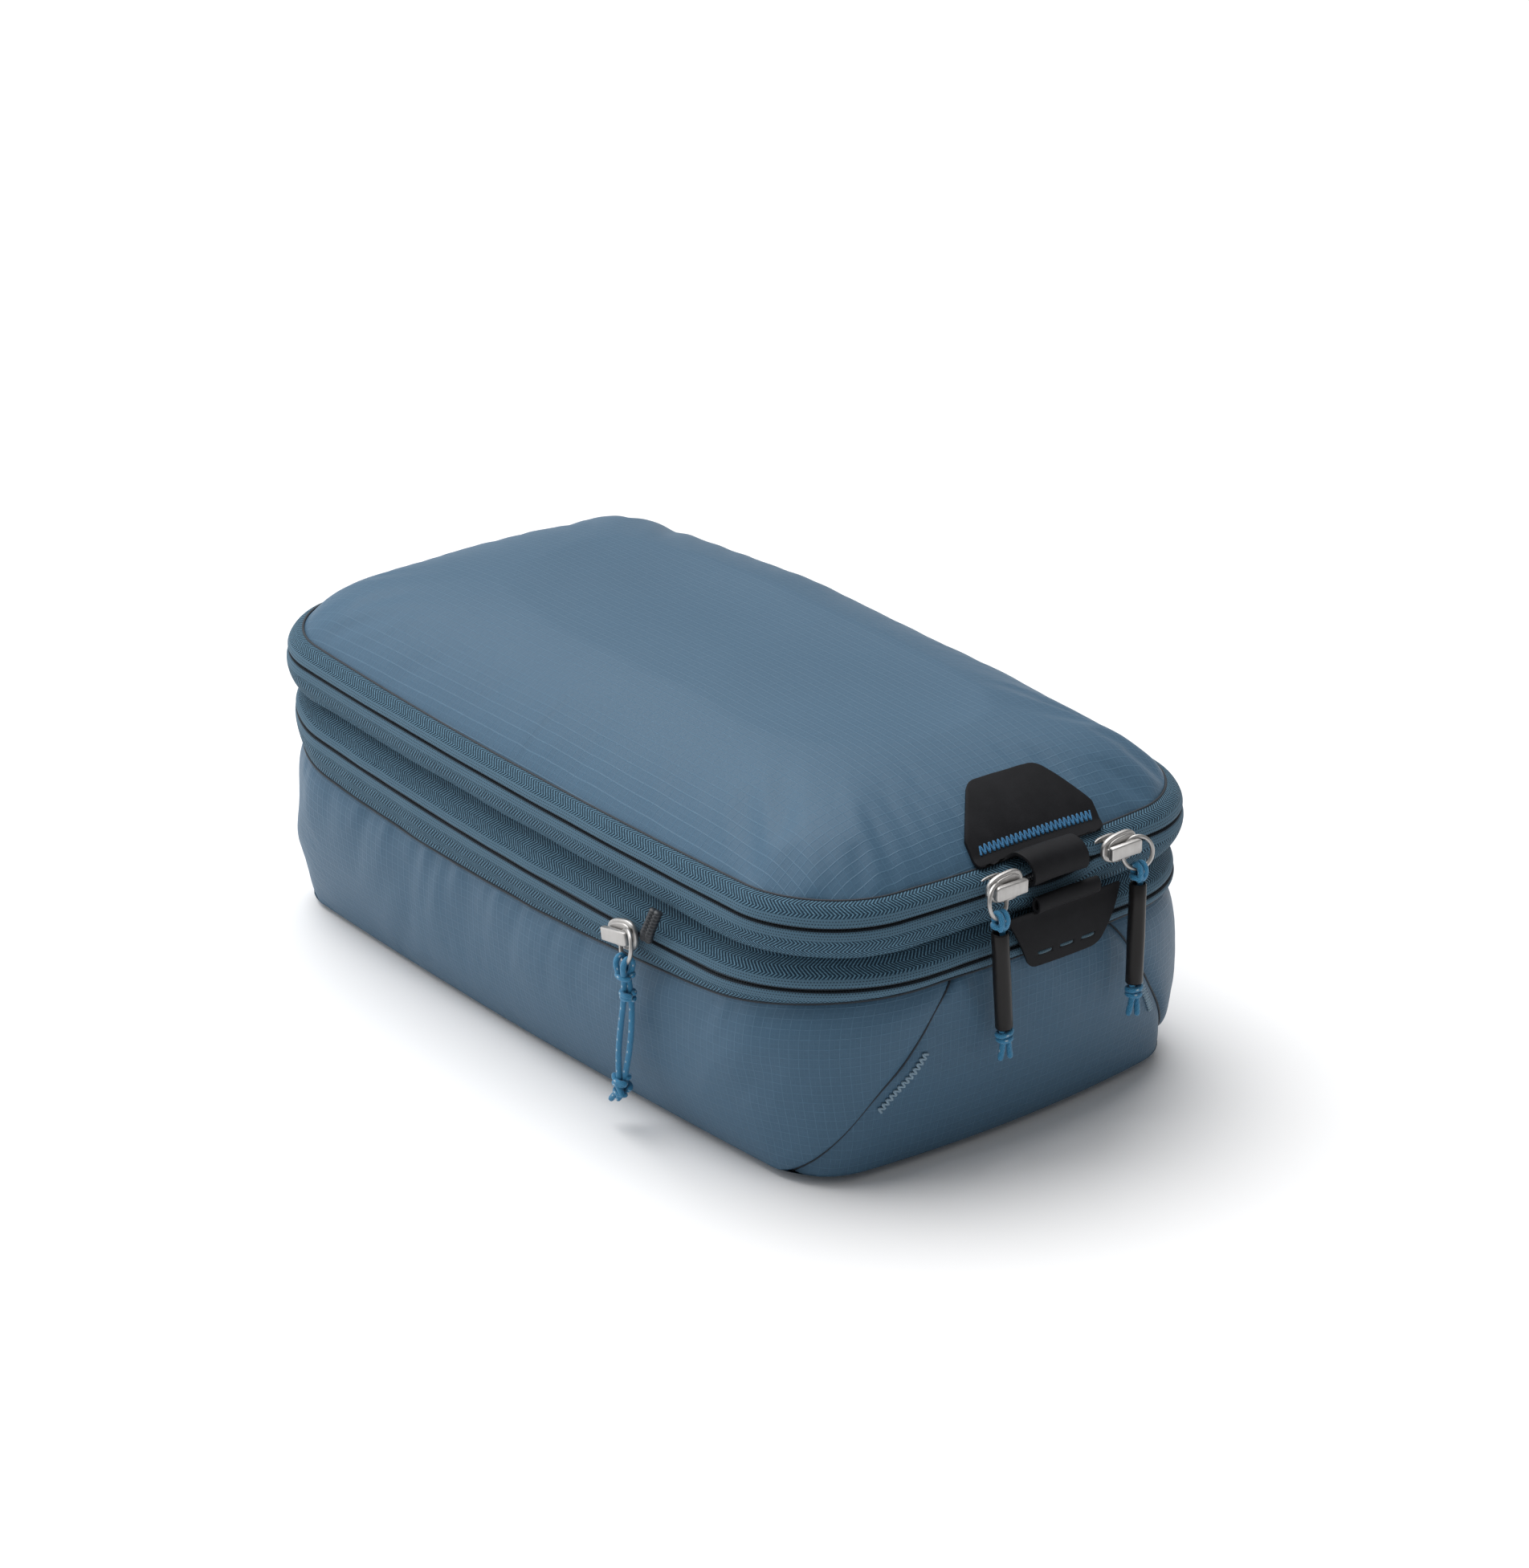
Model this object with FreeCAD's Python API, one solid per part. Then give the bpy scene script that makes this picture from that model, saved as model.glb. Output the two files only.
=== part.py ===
import FreeCAD, Part
import math
import os

from FreeCAD import Vector

# A small compression packing cube, in millimetres.
# +Z is up, +Y runs along the cube from the front end (handle tabs) to the back end (lid hinge),
# and the origin is the middle of the flat base. The compression slider is on the left side, at -X.

# Overall size
WIDTH = 160.0
LENGTH = 280.0
CLOTH = 1.0  # thickness of a fabric wall

# Outline of the cube at each height: (height, inset across X, inset along Y, corner radius)
FOOT = (0.0, 12.0, 14.0, 14.0)
BASE_EDGE = (4.0, 8.0, 10.0, 18.0)
LOWER_SEAM = (52.0, 0.8, 1.5, 39.0)
COMPRESSION_LOW = (55.0, 0.0, 0.5, 39.0)
COMPRESSION_HIGH = (61.0, 0.0, 0.5, 39.0)
CREASE = (69.0, 2.5, 2.5, 34.0)
MAIN_LOW = (78.0, 0.0, 0.0, 30.0)
MAIN_HIGH = (84.0, 0.0, 0.0, 30.0)
LID_SEAM = (87.5, 5.5, 6.0, 26.0)
LEVELS = [FOOT, BASE_EDGE, LOWER_SEAM, COMPRESSION_LOW, COMPRESSION_HIGH, CREASE, MAIN_LOW, MAIN_HIGH, LID_SEAM]

DOME_RISE = 11.5  # how far the lid swells above its seam

# Zippers
COMPRESSION_LINE = 58.0  # height of the compression zipper
MAIN_LINE = 81.0  # height of the main zipper
SIDE_LINE = 22.0  # height of the side pocket's zipper
SLIT = 1.1  # half of the gap between two tape edges, where a slider's post runs
COIL = 1.8  # width and depth of one coil
HINGE_HALF = 50.0  # the main zipper stops this far each side of the middle of the back end

# Base panels
DART_TOP = 31.0  # half width of an end panel at the lower seam
DART_FOOT = 66.0  # half width of an end panel at the floor
DIVIDER_HEIGHT = 30.0
SIDE_ZIP_HALF = 95.0  # half length of the side pocket's slit
SIDE_TAPE = 9.0
SIDE_TAPE_THICK = 0.6
SIDE_COIL_DEPTH = 1.0
SIDE_SLIDER_LIFT = 0.9  # the side slider stands on its tapes, not on the wall

# Sliders, in their own frame: x along the zipper, y up, z out of the wall
SHIELD_HALF = 6.75
SHIELD_NOSE = 4.9  # half height at the wide end
SHIELD_TAIL = 3.7
SHIELD_LOW = 0.5
SHIELD_TOP = 1.9
CAP_HALF = 5.6
CAP_WIDTH = 3.3
CAP_LOW = 3.7
CAP_TOP = 5.3
LEG = 1.4
LEG_WIDTH = 2.0
REAR_FRONT = -3.2
REAR_BACK = -4.2
RING_RADIUS = 4.2  # to the middle of the wire
RING_WIRE = 1.0
RING_AXIS_OUT = 2.7
RING_DROOP = 30.0  # the ring hangs this many degrees below level
RING_SWUNG = 22.0  # and stands this many degrees off the wall
WIRE_CLEARANCE = 0.5  # between the ring's wire and the cord tied round it

MAIN_SLIDER_X = {"left": -15.3, "right": 26.3}
COMPRESSION_SLIDER_Y = -62.0
COMPRESSION_ROLL = 9.0  # its front end sits a little higher than its back end, in degrees
SIDE_SLIDER_Y = -87.0

# Cord pulls
CORD = 1.7
TUBE_OUTSIDE = 4.8
TUBE_INSIDE = 3.7
TUBE_LENGTH = 29.0
TUBE_DROP = 3.2  # from the ring's wire to the top of the tube
TAIL_LENGTH = 8.5

# Handle tabs on the front end
TAB_CENTRE = 5.0
TOP_TAB_LOW_X = -8.0
TOP_TAB_HIGH_X = 12.0
PATCH = 1.0  # thickness of the rubbery patches


# Helpers


def blend_level(height):
    """The outline at any height, straight between the listed ones."""
    for low, high in zip(LEVELS, LEVELS[1:]):
        if low[0] <= height <= high[0]:
            share = (height - low[0]) / (high[0] - low[0])
            return tuple(a + share * (b - a) for a, b in zip(low, high))
    raise ValueError(height)


def outline(level, inset=0.0):
    """A closed wire: a rectangle with four round corners."""
    height, across, along, radius = level
    half_x = WIDTH / 2 - across - inset
    half_y = LENGTH / 2 - along - inset
    radius = radius - inset
    edges = []
    diagonal = radius * math.sqrt(0.5)
    corners = [(1, 1), (-1, 1), (-1, -1), (1, -1)]
    for number, (side, end) in enumerate(corners):
        centre_x = side * (half_x - radius)
        centre_y = end * (half_y - radius)
        on_side = Vector(centre_x + side * radius, centre_y, height)
        on_end = Vector(centre_x, centre_y + end * radius, height)
        middle = Vector(centre_x + side * diagonal, centre_y + end * diagonal, height)
        first, last = (on_side, on_end) if number % 2 == 0 else (on_end, on_side)
        edges.append(Part.Arc(first, middle, last).toShape())
    joined = []
    for number, edge in enumerate(edges):
        following = edges[(number + 1) % 4]
        joined.append(edge)
        joined.append(Part.LineSegment(edge.Vertexes[-1].Point, following.Vertexes[0].Point).toShape())
    return Part.Wire(Part.__sortEdges__(joined))


def loft(levels, inset=0.0):
    return Part.makeLoft([outline(level, inset) for level in levels], True, True)


def levels_between(low, high):
    """The outlines from one height to another, with each listed height between them."""
    inner = [level for level in LEVELS if low < level[0] < high]
    return [blend_level(low)] + inner + [blend_level(high)]


def wall(low, high, outside=0.0, thickness=CLOTH):
    """A thin wall all round the cube between two heights."""
    levels = levels_between(low, high)
    return loft(levels, outside).cut(loft(levels, outside + thickness))


def box(low, high):
    size = [b - a for a, b in zip(low, high)]
    return Part.makeBox(size[0], size[1], size[2], Vector(*low))


def prism(points, direction):
    """A straight solid on a flat polygon."""
    corners = [Vector(*point) for point in points]
    return Part.Face(Part.makePolygon(corners + corners[:1])).extrude(Vector(*direction))


def rounded_plate(points, radius, low, high):
    """A flat plate on a polygon in the XY plane, with round corners."""
    plate = prism([(x, y, low) for x, y in points], (0, 0, high - low))
    upright = [edge for edge in plate.Edges if abs(edge.Vertexes[0].Z - edge.Vertexes[-1].Z) > 1e-6]
    return plate.makeFillet(radius, upright)


def round_bar(start, end, diameter):
    direction = end - start
    return Part.makeCylinder(diameter / 2, direction.Length, start, direction)


def pipe(points, diameter, name):
    """A cord along straight runs joined by arcs that touch them."""
    at = [Vector(*point) for point in points]
    edges = []
    start = at[0]
    radii = []
    for before, corner, after in zip(at, at[1:], at[2:]):
        back = (before - corner).normalize()
        on = (after - corner).normalize()
        half_turn = (math.pi - back.getAngle(on)) / 2
        shorter = min((before - corner).Length, (after - corner).Length)
        reach = 0.45 * shorter
        radius = reach / math.tan(half_turn)
        radii.append(round(radius, 1))
        first = corner + back * reach
        last = corner + on * reach
        inward = (back + on).normalize()
        middle = corner + inward * (radius / math.cos(half_turn) - radius)
        edges.append(Part.LineSegment(start, first).toShape())
        edges.append(Part.Arc(first, middle, last).toShape())
        start = last
    edges.append(Part.LineSegment(start, at[-1]).toShape())
    path = Part.Wire(edges)
    circle = Part.Wire(Part.makeCircle(diameter / 2, at[0], at[1] - at[0]))
    solid = path.makePipeShell([circle], True, False)
    expected = math.pi * diameter**2 / 4 * path.Length
    share = solid.Volume / expected
    print(name, "radii", radii, "length", round(path.Length, 1), "volume share", round(share, 3))
    return solid


def keep(shape, name):
    """Writes one node."""
    solids = shape.Solids
    if not solids or not shape.isValid():
        raise ValueError(name + " isn't a valid solid")
    solid = solids[0] if len(solids) == 1 else Part.makeCompound(solids)
    solid.exportStep("parts/" + name + ".step")


def frame_on_wall(origin, up, outward):
    """Places a piece made in wall coordinates: x along the zipper, y up the wall, z out of it."""
    z = Vector(*outward).normalize()
    y = Vector(*up).normalize()
    x = y.cross(z)
    return FreeCAD.Placement(Vector(*origin), FreeCAD.Rotation(x, y, z, "ZXY"))


def placed(shape, place):
    copy = shape.copy()
    copy.Placement = place.multiply(copy.Placement)
    return copy


# Where each slider sits

FRONT_Y = -LENGTH / 2
LEFT_X = -WIDTH / 2
COMPRESSION_UP = (0.0, math.sin(math.radians(COMPRESSION_ROLL)), math.cos(math.radians(COMPRESSION_ROLL)))
SIDE_RISE = BASE_EDGE[1] - LOWER_SEAM[1]
SIDE_RUN = LOWER_SEAM[0] - BASE_EDGE[0]
SIDE_WALL_X = WIDTH / 2 - blend_level(SIDE_LINE)[1]
SIDE_OUT = (SIDE_RUN, 0.0, -SIDE_RISE)
SIDE_UP = (SIDE_RISE, 0.0, SIDE_RUN)

SLIDER_PLACES = {
    "left": frame_on_wall((MAIN_SLIDER_X["left"], FRONT_Y, MAIN_LINE), (0, 0, 1), (0, -1, 0)),
    "right": frame_on_wall((MAIN_SLIDER_X["right"], FRONT_Y, MAIN_LINE), (0, 0, 1), (0, -1, 0)),
    "compression": frame_on_wall((LEFT_X, COMPRESSION_SLIDER_Y, COMPRESSION_LINE), COMPRESSION_UP, (-1, 0, 0)),
    "side": frame_on_wall((SIDE_WALL_X + SIDE_SLIDER_LIFT, SIDE_SLIDER_Y, SIDE_LINE), SIDE_UP, SIDE_OUT),
}
RING_SIDE = {"left": -1, "right": 1, "compression": 1, "side": -1}


def ring_frame(which):
    """The pivot point, pivot axis, centre and lowest point of a pull ring, in wall coordinates."""
    side = RING_SIDE[which]
    droop = math.radians(RING_DROOP)
    swung = math.radians(RING_SWUNG)
    leg_x = side * (CAP_HALF - LEG / 2)
    level = Vector(side * math.cos(droop), -math.sin(droop), 0)
    tangent = Vector(side * math.sin(droop), math.cos(droop), 0)
    pivot = Vector(leg_x - side * RING_RADIUS * math.cos(droop), 0, RING_AXIS_OUT)
    out = Vector(0, 0, 1)
    swung_level = level * math.cos(swung) + out * math.sin(swung)
    centre = pivot + swung_level * RING_RADIUS
    down = swung_level * math.sin(droop) - tangent * math.cos(droop)
    lowest = centre + down * RING_RADIUS
    wire = swung_level * math.cos(droop) + tangent * math.sin(droop)
    normal = swung_level.cross(tangent)
    return {
        "pivot": pivot,
        "axis": tangent * -side,
        "centre": centre,
        "normal": normal,
        "lowest": lowest,
        "wire": wire * -side,
    }


# Base


def bottom_panel():
    return loft([FOOT, blend_level(CLOTH)])


def end_prism(end):
    """The wedge of space that an end panel takes: from -100 to past the end wall."""
    far = end * (LENGTH / 2 + 10)
    near = end * 100.0
    top = LOWER_SEAM[0] + 1
    points = [(-DART_TOP, near, top), (DART_TOP, near, top), (DART_FOOT, near, 0), (-DART_FOOT, near, 0)]
    return prism(points, (0, far - near, 0))


def base_wall():
    return wall(CLOTH, LOWER_SEAM[0])


def end_panel(end):
    return base_wall().common(end_prism(end))


def side_panel(side):
    half = box((0, -LENGTH, -1), (WIDTH, LENGTH, LOWER_SEAM[0] + 1))
    if side < 0:
        half = half.mirror(Vector(0, 0, 0), Vector(1, 0, 0))
    panel = base_wall().common(half).cut(end_prism(-1)).cut(end_prism(1))
    if side > 0:
        slit = box((-SIDE_ZIP_HALF, -SLIT, -3 * CLOTH), (SIDE_ZIP_HALF, SLIT, 3 * CLOTH))
        panel = panel.cut(placed(slit, side_zip_place()))
    return panel


def corner_bartacks():
    """Four short zigzag tacks beside the corner darts, each 20 mm long."""
    levels = levels_between(10.0, 48.0)
    layer = loft(levels, -0.4).cut(loft(levels))
    tacks = []
    for side in (-1, 1):
        for end in (-1, 1):
            low = Vector(side * 53.0, end * 100.0, 27.0)
            high = Vector(side * 38.0, end * 100.0, 41.0)
            across = (high - low).cross(Vector(0, 1, 0)).normalize() * 1.2
            points = [low - across, high - across, high + across, low + across]
            strip = prism([tuple(point) for point in points], (0, end * 60.0, 0))
            tacks.append(layer.common(strip))
    return Part.makeCompound([solid for tack in tacks for solid in tack.Solids])


def divider_panel():
    level = blend_level(DIVIDER_HEIGHT)
    top = blend_level(DIVIDER_HEIGHT + CLOTH)
    return loft([level, top], CLOTH + 0.2)


def side_zip_place():
    return frame_on_wall((SIDE_WALL_X, 0.0, SIDE_LINE), SIDE_UP, SIDE_OUT)


def side_zip_tapes():
    strips = []
    half = SIDE_ZIP_HALF + 3
    for side in (-1, 1):
        low, high = sorted((side * SLIT, side * (SLIT + SIDE_TAPE)))
        strips.append(box((-half, low, 0), (half, high, SIDE_TAPE_THICK)))
    return placed(Part.makeCompound(strips), side_zip_place())


def side_zip_coil():
    strips = []
    for side in (-1, 1):
        low, high = sorted((side * SLIT, side * (SLIT + COIL)))
        strips.append(box((-SIDE_ZIP_HALF, low, -CLOTH - SIDE_COIL_DEPTH), (SIDE_ZIP_HALF, high, -CLOTH)))
    return placed(Part.makeCompound(strips), side_zip_place())


def side_zip_stops():
    stops = []
    for end in (-1, 1):
        low, high = sorted((end * (SIDE_ZIP_HALF - 2.5), end * SIDE_ZIP_HALF))
        stops.append(box((low, -SLIT - 2.0, SIDE_TAPE_THICK), (high, SLIT + 2.0, SIDE_TAPE_THICK + 0.3)))
    return placed(Part.makeCompound(stops), side_zip_place())


def seam_binding(low, high, inset):
    return wall(low, high, inset, 1.2)


def coil_ring(line, side):
    """One half of a coil, all round the cube, above or below its zipper line."""
    low, high = sorted((line + side * SLIT, line + side * (SLIT + COIL)))
    return wall(low, high, CLOTH, COIL)


def open_at_hinge(shape):
    """Leaves out the stretch where the main zipper gives way to the lid's cloth hinge."""
    return shape.cut(box((-HINGE_HALF, 100.0, 0.0), (HINGE_HALF, LENGTH, 200.0)))


def only_at_hinge(shape):
    return shape.common(box((-HINGE_HALF, 100.0, 0.0), (HINGE_HALF, LENGTH, 200.0)))


def compression_zip_end():
    """The black ends of the compression coil, which turn up beside the parked slider."""
    y = COMPRESSION_SLIDER_Y - 10.5
    low = COMPRESSION_LINE + SLIT + 0.6
    high = low + 7.5
    points = [(LEFT_X, y - 1.5, low), (LEFT_X, y + 2.0, low), (LEFT_X, y - 1.0, high), (LEFT_X, y - 5.0, high)]
    return prism(points, (-0.9, 0, 0))


# Band


def expansion_gusset():
    """The folded cloth behind the compression zipper, which lets the cube grow taller."""
    level = COMPRESSION_HIGH
    low = (50.0,) + level[1:]
    high = (72.0,) + level[1:]
    return loft([low, high], 6.0).cut(loft([low, high], 7.0))


def lower_patch():
    """The black patch below the lower tab: a trapezoid, wider at its top."""
    top_half = 20.0
    foot_half = 12.3
    points = [(-top_half, 69.2), (-foot_half, 52.5), (foot_half, 52.5), (top_half, 69.2)]
    flat = rounded_plate(points, 2.5, 0, PATCH)
    return placed(flat, frame_on_wall((TAB_CENTRE + 2.0, FRONT_Y - 1.2, 0), (0, 0, 1), (0, -1, 0)))


def lower_tab():
    """The lower tab's rolled edge, a flattened roll across the front."""
    roll = Part.makeCylinder(2.1, 21.5, Vector(-4.5, 0, 0), Vector(1, 0, 0))
    matrix = FreeCAD.Matrix()
    matrix.scale(1.0, 0.75, 1.0)
    flat = roll.transformGeometry(matrix)
    return placed(flat, FreeCAD.Placement(Vector(0, FRONT_Y - 2.9, 72.8), FreeCAD.Rotation()))


def dash_stitches():
    dashes = []
    for number in (-1, 0, 1):
        middle = TAB_CENTRE + 2.0 + number * 7.8
        dashes.append(box((middle - 2.25, FRONT_Y - 2.6, 56.0), (middle + 2.25, FRONT_Y - 2.2, 56.9)))
    return Part.makeCompound(dashes)


# Lid


def lid_height(x, y):
    """The height of the underside of the lid's cloth."""
    half_x = WIDTH / 2 - LID_SEAM[1]
    half_y = LENGTH / 2 - LID_SEAM[2]
    return LID_SEAM[0] + DOME_RISE * (1 - (x / half_x) ** 2) * (1 - (y / half_y) ** 2)


def lid_panel():
    """A swelling sheet, level along its seam."""
    steps = 8
    rows = []
    for i in range(steps + 1):
        x = (2 * i / steps - 1) * WIDTH / 2
        row = []
        for j in range(steps + 1):
            y = (2 * j / steps - 1) * LENGTH / 2
            row.append(Vector(x, y, lid_height(x, y)))
        rows.append(row)
    surface = Part.BSplineSurface()
    surface.interpolate(rows)
    sheet = surface.toShape().extrude(Vector(0, 0, CLOTH))
    column = loft([(80.0,) + LID_SEAM[1:], (110.0,) + LID_SEAM[1:]])
    return sheet.common(column)


TOP_PATCH_FRONT = -132.5
TOP_PATCH_BACK = -106.0
TOP_PATCH_REACH = TOP_PATCH_BACK - TOP_PATCH_FRONT


def top_patch_place():
    front_z = lid_height(TAB_CENTRE, TOP_PATCH_FRONT) + CLOTH
    back_z = lid_height(TAB_CENTRE, TOP_PATCH_BACK) + CLOTH
    slope = Vector(0, TOP_PATCH_REACH, back_z - front_z).normalize()
    outward = Vector(1, 0, 0).cross(slope)
    return frame_on_wall((TAB_CENTRE, TOP_PATCH_FRONT, front_z + 0.25), tuple(slope), tuple(outward))


def top_patch():
    """The black patch on the lid: a trapezoid, wider at the front."""
    wide, narrow, shoulder = 21.5, 14.0, 8.0
    left = [(-narrow, TOP_PATCH_REACH), (-wide, shoulder), (-wide, 0)]
    right = [(wide, 0), (wide, shoulder), (narrow, TOP_PATCH_REACH)]
    points = left + right
    return placed(rounded_plate(points, 2.5, 0, PATCH), top_patch_place())


def top_patch_stitching():
    strip = box((-20.0, 3.2, PATCH), (20.0, 6.0, PATCH + 0.5))
    return placed(strip, top_patch_place())


def top_tab():
    """The upper tab: a strap that comes over the lid's edge, runs down in front of it and folds in."""
    front_z = top_patch_place().Base.z
    outer = [
        (TOP_PATCH_FRONT - 0.4, front_z + PATCH),
        (-137.0, front_z + 0.9),
        (-141.6, 87.2),
        (-143.6, 83.6),
        (-144.0, 79.8),
        (-142.9, 77.6),
        (-141.2, 77.6),
    ]
    inner = [
        (-141.2, 78.7),
        (-142.3, 79.0),
        (-142.8, 80.0),
        (-142.5, 83.3),
        (-140.7, 86.4),
        (-136.8, front_z - 0.1),
        (TOP_PATCH_FRONT - 0.4, front_z),
    ]
    points = [(TOP_TAB_LOW_X, y, z) for y, z in outer + inner]
    return prism(points, (TOP_TAB_HIGH_X - TOP_TAB_LOW_X, 0, 0))


# Sliders


def slider_body():
    """Front plate, post and rear plate of a zipper slider."""
    points = [
        (-SHIELD_HALF, -SHIELD_TAIL),
        (SHIELD_HALF, -SHIELD_NOSE),
        (SHIELD_HALF, SHIELD_NOSE),
        (-SHIELD_HALF, SHIELD_TAIL),
    ]
    shield = rounded_plate(points, 3.0, SHIELD_LOW, SHIELD_TOP)
    rim = [edge for edge in shield.Edges if min(vertex.Z for vertex in edge.Vertexes) > SHIELD_TOP - 1e-6]
    shield = shield.makeFillet(0.6, rim)
    post = box((-1.4, -SLIT + 0.5, REAR_FRONT), (1.4, SLIT - 0.5, SHIELD_LOW))
    rear = box((-4.5, -1.6, REAR_BACK), (4.5, 1.6, REAR_FRONT))
    return shield.fuse([post, rear]).removeSplitter()


def slider_cap():
    """The bridge over a slider's front plate, which holds the pull ring."""
    half = CAP_WIDTH / 2
    bar = box((-CAP_HALF, -half, CAP_LOW), (CAP_HALF, half, CAP_TOP))
    edges = [edge for edge in bar.Edges if min(vertex.Z for vertex in edge.Vertexes) > CAP_TOP - 1e-6]
    bar = bar.makeFillet(0.6, edges)
    for side in (-1, 1):
        low, high = sorted((side * (CAP_HALF - LEG), side * CAP_HALF))
        bar = bar.fuse(box((low, -LEG_WIDTH / 2, SHIELD_TOP), (high, LEG_WIDTH / 2, CAP_LOW)))
    return bar.removeSplitter()


def pull_ring(which):
    ring = ring_frame(which)
    return Part.makeTorus(RING_RADIUS, RING_WIRE / 2, ring["centre"], ring["normal"])


def pull_place(which):
    """The lowest point of a ring's wire, where its pull hangs."""
    return SLIDER_PLACES[which].multVec(ring_frame(which)["lowest"])


PULL_LEAN = {"left": Vector(4.0, 0, -TUBE_LENGTH), "right": Vector(-0.6, 0, -TUBE_LENGTH)}


def pull_points(which):
    """The ring's wire, the tube's two ends and the end of the cord tails."""
    wire = pull_place(which)
    down = Vector(PULL_LEAN[which]).normalize()
    tube_top = wire + Vector(0, 0, -TUBE_DROP)
    tube_end = tube_top + down * TUBE_LENGTH
    tail_end = tube_end + down * TAIL_LENGTH
    return wire, down, tube_top, tube_end, tail_end


def ball(at, sizes):
    """An egg-shaped solid with these half sizes."""
    matrix = FreeCAD.Matrix()
    matrix.scale(*sizes)
    bead = Part.makeSphere(1.0).transformGeometry(matrix)
    bead.translate(at)
    return bead


def wire_hole(at, turn):
    """The room that the ring's wire needs to turn in."""
    return Part.makeCylinder(RING_WIRE / 2 + WIRE_CLEARANCE, 8.0, at - turn * 4.0, turn)


def hitch(at, turn):
    """The cord's turn round the ring's wire: a flattened bead with a hole for the wire."""
    bead = ball(at + Vector(0, 0, -0.7), (2.3, 2.1, 2.3))
    return bead.cut(wire_hole(at, turn))


def wire_direction(which):
    place = SLIDER_PLACES[which]
    return place.Rotation.multVec(ring_frame(which)["wire"]).normalize()


def pull_cord(which):
    """The cord of a main pull, whole: its hitch on the ring, two strands through the tube, two tails."""
    wire, down, tube_top, _, tail_end = pull_points(which)
    turn = wire_direction(which)
    sideways = down.cross(Vector(0, 1, 0)).normalize() * (CORD / 2 + 0.05)
    pieces = [hitch(wire, turn)]
    neck = round_bar(wire + Vector(0, 0, -1.6), tube_top + down * 1.0, 2.6)
    pieces.append(neck)
    for side in (-1, 1):
        pieces.append(round_bar(tube_top + sideways * side, tail_end + sideways * side, CORD))
    return pieces[0].fuse(pieces[1:]).cut(wire_hole(wire, turn))


def pull_tube(which):
    _, down, tube_top, tube_end, _ = pull_points(which)
    outer = round_bar(tube_top + down * 1.0, tube_end, TUBE_OUTSIDE)
    return outer.cut(round_bar(tube_top, tube_end + down, TUBE_INSIDE))


def pull_knot(which):
    """The turn of cord that binds the two tails, just below the tube."""
    _, down, _, tube_end, _ = pull_points(which)
    binding = round_bar(tube_end + down * 1.2, tube_end + down * 3.2, 4.4)
    return binding.cut(pull_cord(which))


# The compression pull hangs beside the left wall from its ring: two strands down to an end knot.
COMPRESSION_WIRE = pull_place("compression")
FIRST_KNOT = Vector(-85.2, -68.5, 43.2)
END_KNOT = Vector(-84.7, -64.6, 14.0)
STRAND_A = [
    (-85.9, -68.2, 49.0),
    (-86.1, -69.1, 43.2),
    (-85.4, -68.2, 34.4),
    (-85.9, -66.6, 25.4),
    (-85.2, -65.9, 17.0),
    (-85.4, -64.9, 11.6),
]
STRAND_B = [
    (-84.6, -66.5, 49.0),
    (-84.3, -67.7, 43.2),
    (-84.5, -66.4, 34.4),
    (-84.0, -64.6, 25.4),
    (-84.3, -64.1, 17.0),
    (-83.9, -63.2, 11.6),
]


def compression_hitch():
    return hitch(COMPRESSION_WIRE, wire_direction("compression"))


SIDE_TAB_PIVOT = Vector(-3.0, 0, 2.8)  # in the side slider's frame


def side_pull_tab():
    """A small metal tab on the side slider, lying forward along the wall, with a window for the cap's leg."""
    low = SIDE_TAB_PIVOT.z - 0.5
    high = SIDE_TAB_PIVOT.z + 0.5
    outside = [(-22.0, -2.8), (-2.6, -2.8), (-2.6, 2.8), (-22.0, 2.8)]
    tab = rounded_plate(outside, 0.9, low, high)
    window = box((-7.4, -1.9, low), (-3.4, 1.9, high))
    return tab.cut(window)


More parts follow.
